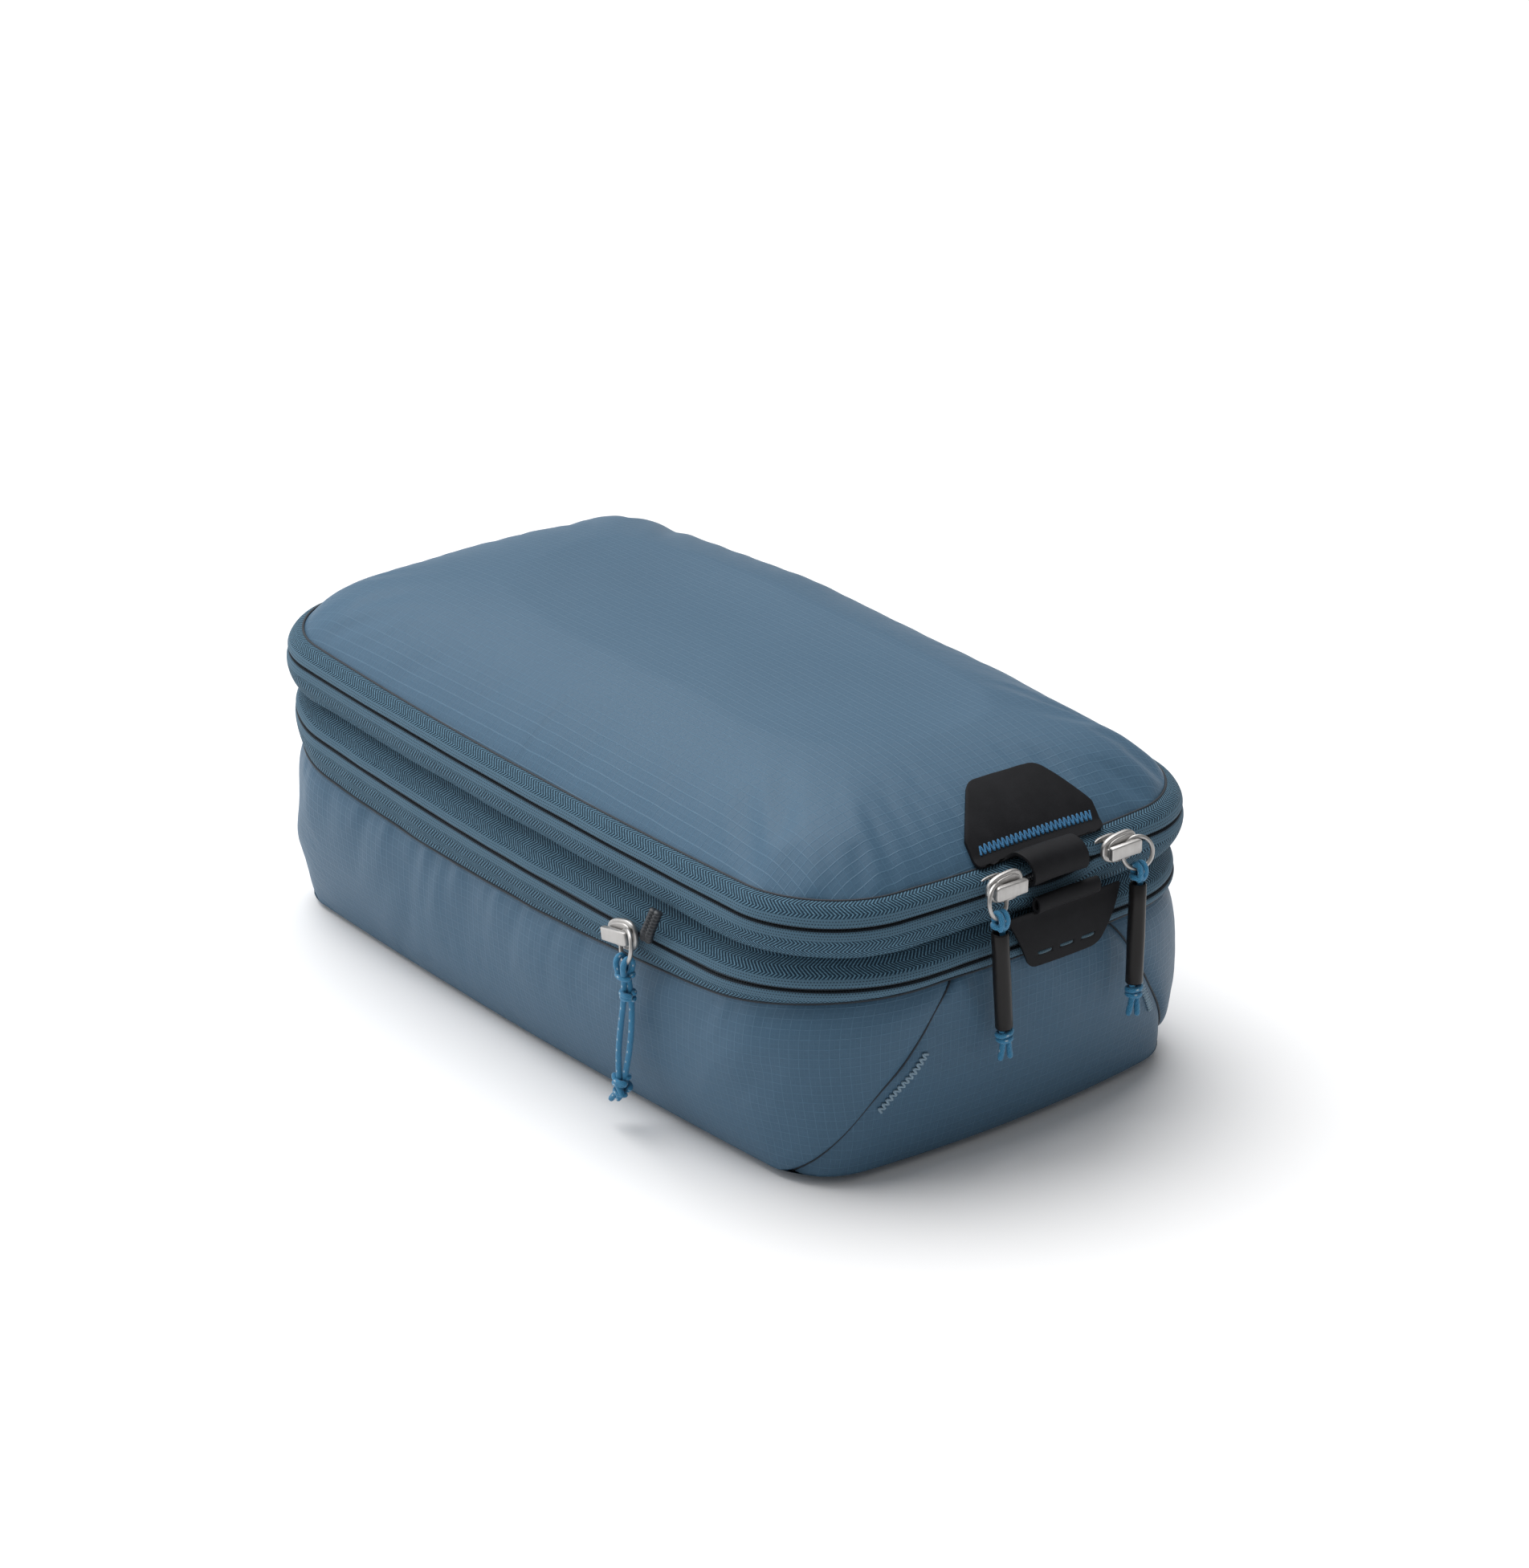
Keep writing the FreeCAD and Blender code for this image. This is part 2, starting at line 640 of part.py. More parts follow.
def build():
    os.makedirs("parts", exist_ok=True)
    keep(bottom_panel(), "bottom_panel")
    keep(side_panel(-1), "left_side_panel")
    keep(side_panel(1), "right_side_panel")
    keep(end_panel(-1), "front_end_panel")
    keep(end_panel(1), "back_end_panel")
    keep(corner_bartacks(), "corner_bartacks")
    keep(divider_panel(), "divider_panel")
    keep(side_zip_tapes(), "side_zipper_tapes")
    keep(side_zip_coil(), "side_zipper_coil")
    keep(side_zip_stops(), "side_zipper_stops")
    keep(seam_binding(50.0, LOWER_SEAM[0], 1.6), "lower_seam_binding")
    keep(wall(LOWER_SEAM[0], COMPRESSION_LINE - SLIT), "compression_lower_tape")
    keep(coil_ring(COMPRESSION_LINE, -1), "compression_lower_coil")
    keep(expansion_gusset(), "expansion_gusset")

    keep(wall(COMPRESSION_LINE + SLIT, CREASE[0]), "compression_upper_tape")
    keep(coil_ring(COMPRESSION_LINE, 1), "compression_upper_coil")
    keep(compression_zip_end(), "compression_coil_ends")
    keep(seam_binding(CREASE[0] - 2.0, CREASE[0] + 1.0, 1.6), "band_seam_binding")
    keep(open_at_hinge(wall(CREASE[0], MAIN_LINE - SLIT)), "main_lower_tape")
    keep(open_at_hinge(coil_ring(MAIN_LINE, -1)), "main_lower_coil")
    keep(only_at_hinge(wall(CREASE[0], MAIN_LINE - SLIT)), "lid_hinge_cloth")
    keep(lower_patch(), "lower_patch")
    keep(lower_tab(), "lower_tab_roll")
    keep(dash_stitches(), "lower_patch_stitches")

    keep(lid_panel(), "lid_panel")
    keep(open_at_hinge(wall(MAIN_LINE + SLIT, LID_SEAM[0])), "main_upper_tape")
    keep(open_at_hinge(coil_ring(MAIN_LINE, 1)), "main_upper_coil")
    keep(only_at_hinge(wall(MAIN_LINE + SLIT, LID_SEAM[0])), "lid_back_facing")
    keep(seam_binding(85.0, 86.6, 3.4), "lid_seam_binding")
    keep(top_patch(), "top_patch")
    keep(top_patch_stitching(), "top_patch_stitching")
    keep(top_tab(), "top_tab")

    for which in ("left", "right"):
        place = SLIDER_PLACES[which]
        keep(placed(slider_body(), place), which + "_slider_body")
        keep(placed(slider_cap(), place), which + "_slider_cap")
        keep(placed(pull_ring(which), place), which + "_pull_ring")
        keep(pull_cord(which), which + "_pull_cord")
        keep(pull_tube(which), which + "_pull_tube")
        keep(pull_knot(which), which + "_pull_knot")

    place = SLIDER_PLACES["compression"]
    keep(placed(slider_body(), place), "compression_slider_body")
    keep(placed(slider_cap(), place), "compression_slider_cap")
    keep(placed(pull_ring("compression"), place), "compression_pull_ring")
    keep(compression_hitch(), "compression_pull_hitch")
    keep(pipe(STRAND_A, CORD, "compression_cord_a"), "compression_cord_a")
    keep(pipe(STRAND_B, CORD, "compression_cord_b"), "compression_cord_b")
    keep(ball(FIRST_KNOT, (1.9, 2.2, 1.9)), "compression_pull_knot")
    keep(ball(END_KNOT, (2.2, 2.6, 3.0)), "compression_end_knot")

    place = SLIDER_PLACES["side"]
    keep(placed(slider_body(), place), "side_slider_body")
    keep(placed(slider_cap(), place), "side_slider_cap")
    keep(placed(side_pull_tab(), place), "side_pull_tab")


build()
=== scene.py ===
import bpy
import math
import numpy as np
from collections import namedtuple
from mathutils import Matrix, Vector, noise
from mathutils.bvhtree import BVHTree


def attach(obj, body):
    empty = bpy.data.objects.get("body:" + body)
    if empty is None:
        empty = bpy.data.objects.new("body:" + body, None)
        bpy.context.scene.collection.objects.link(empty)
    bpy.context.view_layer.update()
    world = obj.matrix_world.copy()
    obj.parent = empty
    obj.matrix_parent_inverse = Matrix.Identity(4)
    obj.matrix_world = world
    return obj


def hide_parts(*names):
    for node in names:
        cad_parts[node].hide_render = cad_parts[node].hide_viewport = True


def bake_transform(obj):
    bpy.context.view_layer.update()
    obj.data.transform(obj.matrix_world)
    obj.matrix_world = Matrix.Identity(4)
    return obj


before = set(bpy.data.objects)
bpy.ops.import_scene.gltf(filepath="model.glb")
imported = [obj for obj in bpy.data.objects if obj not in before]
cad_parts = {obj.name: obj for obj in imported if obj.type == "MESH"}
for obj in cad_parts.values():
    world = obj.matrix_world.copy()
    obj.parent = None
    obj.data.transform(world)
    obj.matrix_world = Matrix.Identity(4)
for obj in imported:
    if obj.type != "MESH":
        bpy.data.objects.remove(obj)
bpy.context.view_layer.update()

# The packing cube's looks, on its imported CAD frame. Shapes are worked out in millimetres and made in metres.

MM = 0.001
FABRIC_SCALE = 10.0  # cloth is simulated ten times larger than life

# Outside of the cube
HALF_WIDTH = 80.0
HALF_LENGTH = 140.0
SIDE_BOW = 3.1  # how far the long sides swell at their middles
END_BOW = 5.5  # and the ends at theirs

# A seam that runs round the cube. Sags are downward at the middle of a side or an end.
# Tilt lifts the back end and lowers the front end.
SeamLine = namedtuple("SeamLine", "height radius inset side_sag end_sag tilt")
LID_LINE = SeamLine(87.4, 25.7, 6.0, 1.5, 0.0, 3.7)
MAIN_LINE = SeamLine(81.0, 29.5, 1.5, 0.6, -1.0, 4.0)
CREASE_LINE = SeamLine(70.6, 32.0, 4.4, -0.4, -2.2, 3.4)
COMPRESSION_LINE = SeamLine(62.9, 40.5, -0.4, 3.1, -2.5, 4.6)
LOWER_LINE = SeamLine(55.8, 39.4, 1.2, 7.8, -2.0, 0.9)
EDGE_LINE = SeamLine(2.4, 16.0, 8.4, 0.6, 0.4, -0.4)

# Where the cloth hinge takes over from the main zipper, each side of the middle of the back end
HINGE_HALF = 50.0

# Half widths of an end panel: the darts run from the lower seam out to the corners of the base
DART_TOP = 31.0
DART_TOP_HEIGHT = 53.6
DART_FOOT = 67.0
DART_FOOT_HEIGHT = 3.5

# Sliders: the middle of each
MAIN_HEIGHT = 81.0
COMPRESSION_HEIGHT = 58.0
LEFT_SLIDER = (-15.3, -HALF_LENGTH, MAIN_HEIGHT)
RIGHT_SLIDER = (26.3, -HALF_LENGTH, MAIN_HEIGHT)
COMPRESSION_SLIDER = (-HALF_WIDTH, -62.0, COMPRESSION_HEIGHT)
COMPRESSION_ROLL = 9.0
SIDE_LINE_HEIGHT = 22.0
SIDE_SLIDER_Y = -87.0

CORD = 1.7  # the cord's diameter
CORD_SIDES = 20  # faces round a cord
CORD_BRAID = 0.07
BRAID_PITCH = 2.7

UP = np.array((0.0, 0.0, 1.0))
FRONT = np.array((0.0, -1.0, 0.0))


# Camera


def make_camera():
    place = Vector((-0.66153, -0.83907, 0.51111))
    aim = Vector((0.04045, 0.02785, 0.040))
    data = bpy.data.cameras.new("Camera")
    data.lens = 90.44
    data.sensor_width = 36.0
    camera = bpy.data.objects.new("Camera", data)
    camera.location = place
    camera.rotation_euler = (aim - place).to_track_quat("-Z", "Y").to_euler()
    bpy.context.scene.collection.objects.link(camera)
    bpy.context.scene.camera = camera


make_camera()


# Materials


class Recipe:
    """One node material, built up from a Principled shader."""

    def __init__(self, name, **sockets):
        self.material = bpy.data.materials.new(name)
        self.material.use_nodes = True
        self.tree = self.material.node_tree
        self.shader = self.tree.nodes["Principled BSDF"]
        for socket, value in sockets.items():
            self.shader.inputs[socket.replace("_", " ").title()].default_value = value

    def node(self, kind, **settings):
        node = self.tree.nodes.new("ShaderNode" + kind)
        for setting, value in settings.items():
            setattr(node, setting, value)
        return node

    def feed(self, socket, value):
        """A link from another node's output, or a plain number or colour."""
        if isinstance(value, bpy.types.NodeSocket):
            self.tree.links.new(value, socket)
        else:
            socket.default_value = value

    def math(self, operation, *values):
        node = self.node("Math", operation=operation)
        for socket, value in zip(node.inputs, values):
            self.feed(socket, value)
        return node.outputs[0]

    def ramp(self, value, low, high, to_low=0.0, to_high=1.0):
        """A smooth step from to_low to to_high as value goes from low to high."""
        node = self.node("MapRange", interpolation_type="SMOOTHSTEP")
        for socket, number in zip(node.inputs, (value, low, high, to_low, to_high)):
            self.feed(socket, number)
        return node.outputs[0]

    def mix(self, share, first, second):
        node = self.node("Mix", data_type="RGBA")
        self.feed(node.inputs["Factor"], share)
        self.feed(node.inputs[6], first)
        self.feed(node.inputs[7], second)
        return node.outputs[2]

    def uv(self):
        """The two weave coordinates, in metres along the cloth."""
        split = self.node("SeparateXYZ")
        self.feed(split.inputs[0], self.node("UVMap", uv_map="Weave").outputs[0])
        return split.outputs[0], split.outputs[1]

    def noise(self, scale, detail=2.0, roughness=0.5, stretch=None):
        node = self.node("TexNoise")
        vector = self.node("TexCoord").outputs["Object"]
        if stretch:
            mapping = self.node("Mapping")
            self.feed(mapping.inputs["Vector"], vector)
            mapping.inputs["Scale"].default_value = stretch
            vector = mapping.outputs[0]
        self.feed(node.inputs["Vector"], vector)
        node.inputs["Scale"].default_value = scale
        node.inputs["Detail"].default_value = detail
        node.inputs["Roughness"].default_value = roughness
        return node.outputs["Fac"]

    def lines(self, coordinate, pitch, width):
        """1 on lines spaced by pitch, 0 between them."""
        away = self.math("PINGPONG", coordinate, pitch / 2)
        return self.ramp(away, width * 0.5, 0.0)

    def colour(self, value):
        self.feed(self.shader.inputs["Base Color"], value)

    def roughness(self, value):
        self.feed(self.shader.inputs["Roughness"], value)

    def crossed(self, along, up, pitch, width):
        """Lines both ways, as a pair."""
        return self.lines(along, pitch, width), self.lines(up, pitch, width)

    def specular(self, level):
        self.shader.inputs["Specular IOR Level"].default_value = level

    def bump(self, height, distance, strength):
        node = self.node("Bump")
        self.feed(node.inputs["Height"], height)
        node.inputs["Distance"].default_value = distance
        node.inputs["Strength"].default_value = strength
        self.feed(self.shader.inputs["Normal"], node.outputs[0])


SLATE_LIGHT = (0.072, 0.156, 0.240, 1)
SLATE_DARK = (0.032, 0.077, 0.130, 1)
TAPE_LIGHT = (0.135, 0.275, 0.385, 1)
TAPE_DARK = (0.008, 0.026, 0.046, 1)
COIL_DARK = (0.008, 0.012, 0.018, 1)


def shell_fabric():
    """Ripstop nylon: a fine weave crossed by raised lines of thicker yarn, with a soft sheen."""
    recipe = Recipe("shell_fabric", roughness=0.46, sheen_weight=0.03, sheen_roughness=0.5)
    recipe.specular(0.28)
    along, up = recipe.uv()
    small = recipe.math("MAXIMUM", *recipe.crossed(along, up, 0.00135, 0.00034))
    large = recipe.math("MAXIMUM", *recipe.crossed(along, up, 0.0027, 0.00046))
    grid = recipe.math("MAXIMUM", recipe.math("MULTIPLY", small, 0.35), large)
    fine = recipe.math("MULTIPLY", *recipe.crossed(along, up, 0.00027, 0.00022))
    cloudy = recipe.noise(22.0, 3.0, 0.55)
    slub = recipe.noise(700.0, 2.0, 0.6)
    ground = recipe.mix(cloudy, (0.046, 0.106, 0.172, 1), (0.057, 0.125, 0.197, 1))
    ground = recipe.mix(recipe.math("MULTIPLY", slub, 0.35), ground, SLATE_DARK)
    share = recipe.math("MULTIPLY", grid, recipe.ramp(slub, 0.2, 0.8, 0.3, 0.9))
    recipe.colour(recipe.mix(share, ground, SLATE_LIGHT))
    recipe.roughness(recipe.math("ADD", recipe.math("MULTIPLY", grid, -0.07), 0.50))
    height = recipe.math("ADD", recipe.math("MULTIPLY", grid, 0.8), recipe.math("MULTIPLY", fine, 0.35))
    recipe.bump(height, 0.00008, 0.8)
    return recipe.material


def zipper_tape():
    """Herringbone tape. The second weave coordinate is the distance from the coil."""
    recipe = Recipe("zipper_tape", roughness=0.72, sheen_weight=0.04, sheen_roughness=0.5)
    recipe.specular(0.15)
    along, away = recipe.uv()
    lean = recipe.math("PINGPONG", recipe.math("ADD", away, 0.0008), 0.00250)
    stroke = recipe.lines(recipe.math("ADD", along, lean), 0.00112, 0.00088)
    tooth = recipe.lines(along, 0.00080, 0.00062)
    row = recipe.lines(recipe.math("SUBTRACT", away, 0.0009), 0.00078, 0.00052)
    staggered = recipe.math("FLOOR", recipe.math("DIVIDE", recipe.math("SUBTRACT", away, 0.00051), 0.00078))
    shifted = recipe.math("ADD", along, recipe.math("MULTIPLY", staggered, 0.0004))
    hole = recipe.math("MULTIPLY", recipe.lines(shifted, 0.0008, 0.00058), row)
    near_coil = recipe.ramp(away, 0.0034, 0.0030)
    in_edge = recipe.ramp(away, 0.0008, 0.0005)
    fuzz = recipe.noise(1500.0, 2.0, 0.6)
    fibre = recipe.ramp(fuzz, 0.25, 0.7, 0.55, 1.0)
    woven = recipe.mix(recipe.math("MULTIPLY", stroke, fibre), TAPE_DARK, TAPE_LIGHT)
    knitted = recipe.mix(hole, (0.075, 0.145, 0.205, 1), COIL_DARK)
    body = recipe.mix(near_coil, woven, knitted)
    coil = recipe.mix(tooth, COIL_DARK, (0.016, 0.026, 0.036, 1))
    recipe.colour(recipe.mix(in_edge, body, coil))
    flat = recipe.math("SUBTRACT", 1.0, near_coil)
    height = recipe.math("ADD", recipe.math("MULTIPLY", stroke, flat), recipe.math("MULTIPLY", hole, -1.0))
    recipe.bump(height, 0.00016, 0.9)
    return recipe.material


def plain_cloth(name, light, dark, rough):
    """A simple close weave, for binding and lining."""
    recipe = Recipe(name, roughness=rough)
    along, up = recipe.uv()
    weave = recipe.math("MULTIPLY", *recipe.crossed(along, up, 0.0007, 0.0005))
    cloudy = recipe.noise(60.0, 3.0)
    recipe.colour(recipe.mix(recipe.math("MULTIPLY", weave, cloudy), dark, light))
    recipe.bump(weave, 0.0001, 0.7)
    return recipe.material


def zipper_coil():
    recipe = Recipe("zipper_coil", roughness=0.42)
    recipe.colour(recipe.mix(recipe.noise(300.0), COIL_DARK, (0.03, 0.034, 0.04, 1)))
    recipe.bump(recipe.noise(1800.0, 3.0), 0.00005, 0.5)
    return recipe.material


def black_patch():
    """Rubber-faced cloth: matt, finely pebbled, a little dusty."""
    recipe = Recipe("black_patch", roughness=0.7)
    recipe.specular(0.12)
    pebble = recipe.noise(2600.0, 3.0, 0.6)
    dust = recipe.noise(70.0, 4.0, 0.65)
    dusty = recipe.ramp(dust, 0.35, 0.8)
    recipe.colour(recipe.mix(dusty, (0.0085, 0.0088, 0.0105, 1), (0.016, 0.0165, 0.019, 1)))
    recipe.roughness(recipe.ramp(dust, 0.2, 0.8, 0.55, 0.72))
    recipe.bump(pebble, 0.00006, 0.6)
    return recipe.material


def slider_metal():
    """Brushed grey metal with fine scratches and brighter, worn edges."""
    recipe = Recipe("slider_metal", metallic=1.0, roughness=0.3)
    brushed = recipe.noise(420.0, 4.0, 0.7, stretch=(0.4, 0.4, 6.0))
    scratch = recipe.noise(900.0, 3.0, 0.75, stretch=(1.0, 1.0, 0.12))
    worn = recipe.ramp(recipe.node("NewGeometry").outputs["Pointiness"], 0.50, 0.56)
    metal = recipe.mix(brushed, (0.29, 0.28, 0.27, 1), (0.43, 0.415, 0.40, 1))
    recipe.colour(recipe.mix(worn, metal, (0.52, 0.51, 0.50, 1)))
    recipe.roughness(recipe.ramp(scratch, 0.25, 0.75, 0.36, 0.55))
    recipe.bump(recipe.math("ADD", brushed, scratch), 0.00003, 0.5)
    return recipe.material


def pull_cord():
    """Braided cord, bright blue, with a pale tracer yarn that shows as flecks.

    The braid itself is in the mesh.
    """
    recipe = Recipe("pull_cord", roughness=0.6, sheen_weight=0.2)
    around, along = recipe.uv()
    one = recipe.lines(recipe.math("ADD", along, recipe.math("MULTIPLY", around, 1.2)), 0.00067, 0.00060)
    two = recipe.lines(recipe.math("SUBTRACT", along, recipe.math("MULTIPLY", around, 1.2)), 0.00067, 0.00060)
    yarn = recipe.math("MAXIMUM", one, two)
    blue = recipe.mix(yarn, (0.004, 0.060, 0.130, 1), (0.012, 0.200, 0.410, 1))
    blue = recipe.mix(recipe.math("MULTIPLY", recipe.noise(700.0, 3.0), 0.4), blue, (0.05, 0.33, 0.55, 1))
    flecks = recipe.lines(around, 0.00267, 0.00065), recipe.lines(along, 0.0034, 0.0011)
    tracer = recipe.math("MULTIPLY", *flecks)
    recipe.colour(recipe.mix(recipe.math("MULTIPLY", tracer, 0.85), blue, (0.62, 0.72, 0.76, 1)))
    recipe.bump(yarn, 0.00012, 0.8)
    return recipe.material


def pull_tube():
    """Brown-black shrink tube, satin, with faint streaks along it."""
    recipe = Recipe("pull_tube", roughness=0.42)
    recipe.specular(0.22)
    streak = recipe.noise(160.0, 3.0, 0.6, stretch=(3.0, 3.0, 0.25))
    recipe.colour(recipe.mix(streak, (0.0085, 0.0080, 0.0085, 1), (0.0165, 0.0150, 0.0150, 1)))
    recipe.roughness(recipe.ramp(streak, 0.2, 0.8, 0.28, 0.42))
    recipe.bump(streak, 0.00006, 0.5)
    return recipe.material


def thread(name, light, dark, sheen=0.15):
    """Twisted sewing thread."""
    recipe = Recipe(name, roughness=0.6, sheen_weight=sheen)
    around, along = recipe.uv()
    ply = recipe.lines(recipe.math("ADD", along, recipe.math("MULTIPLY", around, 0.8)), 0.0005, 0.0004)
    recipe.colour(recipe.mix(ply, dark, light))
    recipe.bump(ply, 0.00005, 0.8)
    return recipe.material


MATERIALS = {
    "shell_fabric": shell_fabric(),
    "zipper_tape": zipper_tape(),
    "lining_fabric": plain_cloth("lining_fabric", (0.42, 0.45, 0.47, 1), (0.24, 0.26, 0.28, 1), 0.75),
    "binding": plain_cloth("binding", (0.040, 0.075, 0.105, 1), (0.016, 0.032, 0.048, 1), 0.7),
    "zipper_coil": zipper_coil(),
    "black_patch": black_patch(),
    "slider_metal": slider_metal(),
    "pull_cord": pull_cord(),
    "pull_tube": pull_tube(),
    "blue_thread": thread("blue_thread", (0.022, 0.230, 0.480, 1), (0.006, 0.090, 0.210, 1)),
    "tack_thread": thread("tack_thread", (0.300, 0.430, 0.530, 1), (0.120, 0.200, 0.270, 1)),
    # Near-black thread: painted shade for the grooves of the seams and darts.
    "seam_thread_painted_shade": thread("seam_thread_painted_shade", (0.006, 0.018, 0.034, 1), (0.002, 0.006, 0.012, 1), 0.03),
    "dash_thread": thread("dash_thread", (0.040, 0.120, 0.170, 1), (0.014, 0.045, 0.070, 1)),
}


# Mesh helpers


def new_piece(name, points, faces, uv=None):
    """A smooth mesh from points in mm. uv has one pair for each face corner, in mm."""
    mesh = bpy.data.meshes.new(name)
    mesh.from_pydata((np.asarray(points, float) * MM).tolist(), [], faces)
    if uv is not None:
        layer = mesh.uv_layers.new(name="Weave")
        layer.data.foreach_set("uv", (np.asarray(uv, float) * MM).ravel())
    mesh.shade_smooth()
    piece = bpy.data.objects.new(name, mesh)
    bpy.context.scene.collection.objects.link(piece)
    return piece


def dress(piece, slot, body, *nodes, look=None):
    """Gives a finished piece its material, its body, and the CAD nodes that it stands for."""
    piece.data.materials.clear()
    piece.data.materials.append(MATERIALS[look or slot])
    if body:
        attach(piece, body)
    if nodes:
        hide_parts(*nodes)
    return piece


def sheet_of(name, grid, uv, closed=False):
    """A sheet on rows by columns of points, seen from the side where rows go up and columns go right."""
    rows, columns = grid.shape[:2]
    across = columns if closed else columns - 1
    faces = []
    corners = []
    for row in range(rows - 1):
        for column in range(across):
            following = (column + 1) % columns
            low, high = row * columns, (row + 1) * columns
            faces.append((low + column, low + following, high + following, high + column))
            corners += [(row, column), (row, column + 1), (row + 1, column + 1), (row + 1, column)]
    corners = np.array(corners)
    return new_piece(name, grid.reshape(-1, 3), faces, uv[corners[:, 0], corners[:, 1]])


def points_of(mesh):
    """The places of a mesh's vertices, in metres."""
    return np.array([vertex.co for vertex in mesh.vertices])


def join(name, pieces):
    """Makes one object of several, keeping their material slots."""
    bpy.ops.object.select_all(action="DESELECT")
    for piece in pieces:
        piece.select_set(True)
    bpy.context.view_layer.objects.active = pieces[0]
    bpy.ops.object.join()
    pieces[0].name = name
    pieces[0].data.name = name
    return pieces[0]


def apply_modifiers(piece):
    """Leaves the evaluated mesh in place of the modifiers."""
    bpy.context.view_layer.update()
    evaluated = piece.evaluated_get(bpy.context.evaluated_depsgraph_get())
    mesh = bpy.data.meshes.new_from_object(evaluated)
    piece.modifiers.clear()
    piece.data = mesh
    mesh.name = piece.name
    return piece


def subdivide(piece):
    modifier = piece.modifiers.new("Subdivision", "SUBSURF")
    modifier.levels = 1
    modifier.render_levels = 1
    modifier.boundary_smooth = "PRESERVE_CORNERS"
    return apply_modifiers(piece)


def crisp(piece):
    """Shades a hard piece with sharp edges where its faces meet at an angle."""
    piece.data.set_sharp_from_angle(angle=math.radians(32))
    return piece


def bevelled(piece, width, segments=3):
    modifier = piece.modifiers.new("Bevel", "BEVEL")
    modifier.width = width * MM
    modifier.segments = segments
    modifier.limit_method = "ANGLE"
    return apply_modifiers(piece)


def unit(vectors):
    return vectors / np.maximum(np.linalg.norm(vectors, axis=-1, keepdims=True), 1e-9)


def lengths_along(points):
    """The distance along a row of points to each of them."""
    steps = np.linalg.norm(np.diff(points, axis=0), axis=1)
    return np.concatenate(([0.0], np.cumsum(steps)))


def at_distances(places, far, points):
    """The points at some distances along a line, whose own points are far along it."""
    return np.stack([np.interp(places, far, points[:, axis]) for axis in range(3)], 1)


def evenly(points, spacing):
    """The same line with points evenly spaced."""
    points = np.asarray(points, float)
    far = lengths_along(points)
    count = max(2, int(round(far[-1] / spacing)) + 1)
    places = np.linspace(0, far[-1], count)
    return at_distances(places, far, points)


def spline_object(name, points):
    """A smooth open curve led by a few points in mm."""
    curve = bpy.data.curves.new(name, "CURVE")
    curve.dimensions = "3D"
    curve.resolution_u = 24
    spline = curve.splines.new("NURBS")
    spline.points.add(len(points) - 1)
    for place, point in zip(spline.points, points):
        place.co = (point[0] * MM, point[1] * MM, point[2] * MM, 1.0)
    spline.order_u = 3
    spline.use_endpoint_u = True
    piece = bpy.data.objects.new(name, curve)
    bpy.context.scene.collection.objects.link(piece)
    return piece


def spline_line(points, spacing=0.25):
    """The points of the smooth curve that a few points lead, in mm."""
    guide = spline_object("guide", points)
    bpy.context.view_layer.update()
    mesh = bpy.data.meshes.new_from_object(guide)
    line = points_of(mesh) / MM
    bpy.data.objects.remove(guide)
    bpy.data.meshes.remove(mesh)
    return evenly(line, spacing)


def turning_frames(line, closed):
    """Two directions square to the line at each point, turning as little as they can."""
    ahead = np.gradient(line, axis=0)
    if closed:
        ahead = np.roll(line, -1, 0) - np.roll(line, 1, 0)
    ahead = unit(ahead)
    side = np.cross(ahead[0], (0.0, 0.0, 1.0))
    if np.linalg.norm(side) < 0.1:
        side = np.cross(ahead[0], (0.0, 1.0, 0.0))
    sides = []
    for direction in ahead:
        side = side - direction * np.dot(side, direction)
        side = side / np.linalg.norm(side)
        sides.append(side)
    sides = np.array(sides)
    return sides, np.cross(ahead, sides)


def tube(name, line, radius, around, braid=0.0, closed=False):
    """A round tube along a line. radius is one number, or one for each point.

    braid is how far a crossed pattern stands up from it, as a share of the radius.
    """
    line = np.asarray(line, float)
    count = len(line)
    radii = np.broadcast_to(np.asarray(radius, float), (count,))
    sides, ups = turning_frames(line, closed)
    angles = np.linspace(0, 2 * math.pi, around, endpoint=False)
    far = lengths_along(line)
    turn = 2 * math.pi * far[:, None] / BRAID_PITCH
    pattern = np.maximum(np.cos(4 * angles[None] + 4 * turn / 2), np.cos(4 * angles[None] - 4 * turn / 2))
    swell = radii[:, None] * (1 + braid * (pattern - 0.5))
    ring = np.cos(angles)[None, :, None] * sides[:, None] + np.sin(angles)[None, :, None] * ups[:, None]
    points = (line[:, None] + swell[..., None] * ring).reshape(-1, 3)
    reach = 2 * math.pi * radii.mean()
    faces = []
    uv = []
    last = count if closed else count - 1
    for row in range(last):
        following_row = (row + 1) % count
        high_far = far[row + 1] if row + 1 < count else far[-1] + far[1]
        for column in range(around):
            following = (column + 1) % around
            low, high = row * around, following_row * around
            faces.append((low + column, low + following, high + following, high + column))
            left, right = reach * column / around, reach * (column + 1) / around
            uv += [(left, far[row]), (right, far[row]), (right, high_far), (left, high_far)]
    if not closed:
        for row in (0, count - 1):
            ends = [row * around + column for column in range(around)]
            faces.append(ends[::-1] if row == 0 else ends)
            uv += [(reach * column / around, far[row]) for column in range(around)]
    return new_piece(name, points, faces, uv)


def tapered_ends(line, radius):
    """Radii for a tube whose ends round off."""
    tip = 0.55  # the share of the radius that is left at the very end
    far = lengths_along(line)
    from_end = np.minimum(far, far[-1] - far)
    return radius * np.clip(tip + (1 - tip) * np.sqrt(np.clip(from_end / radius, 0, 1)), 0, 1)


def cord_piece(name, line, diameter=CORD):
    line = np.asarray(line, float)
    return tube(name, line, tapered_ends(line, diameter / 2), around=CORD_SIDES, braid=CORD_BRAID)


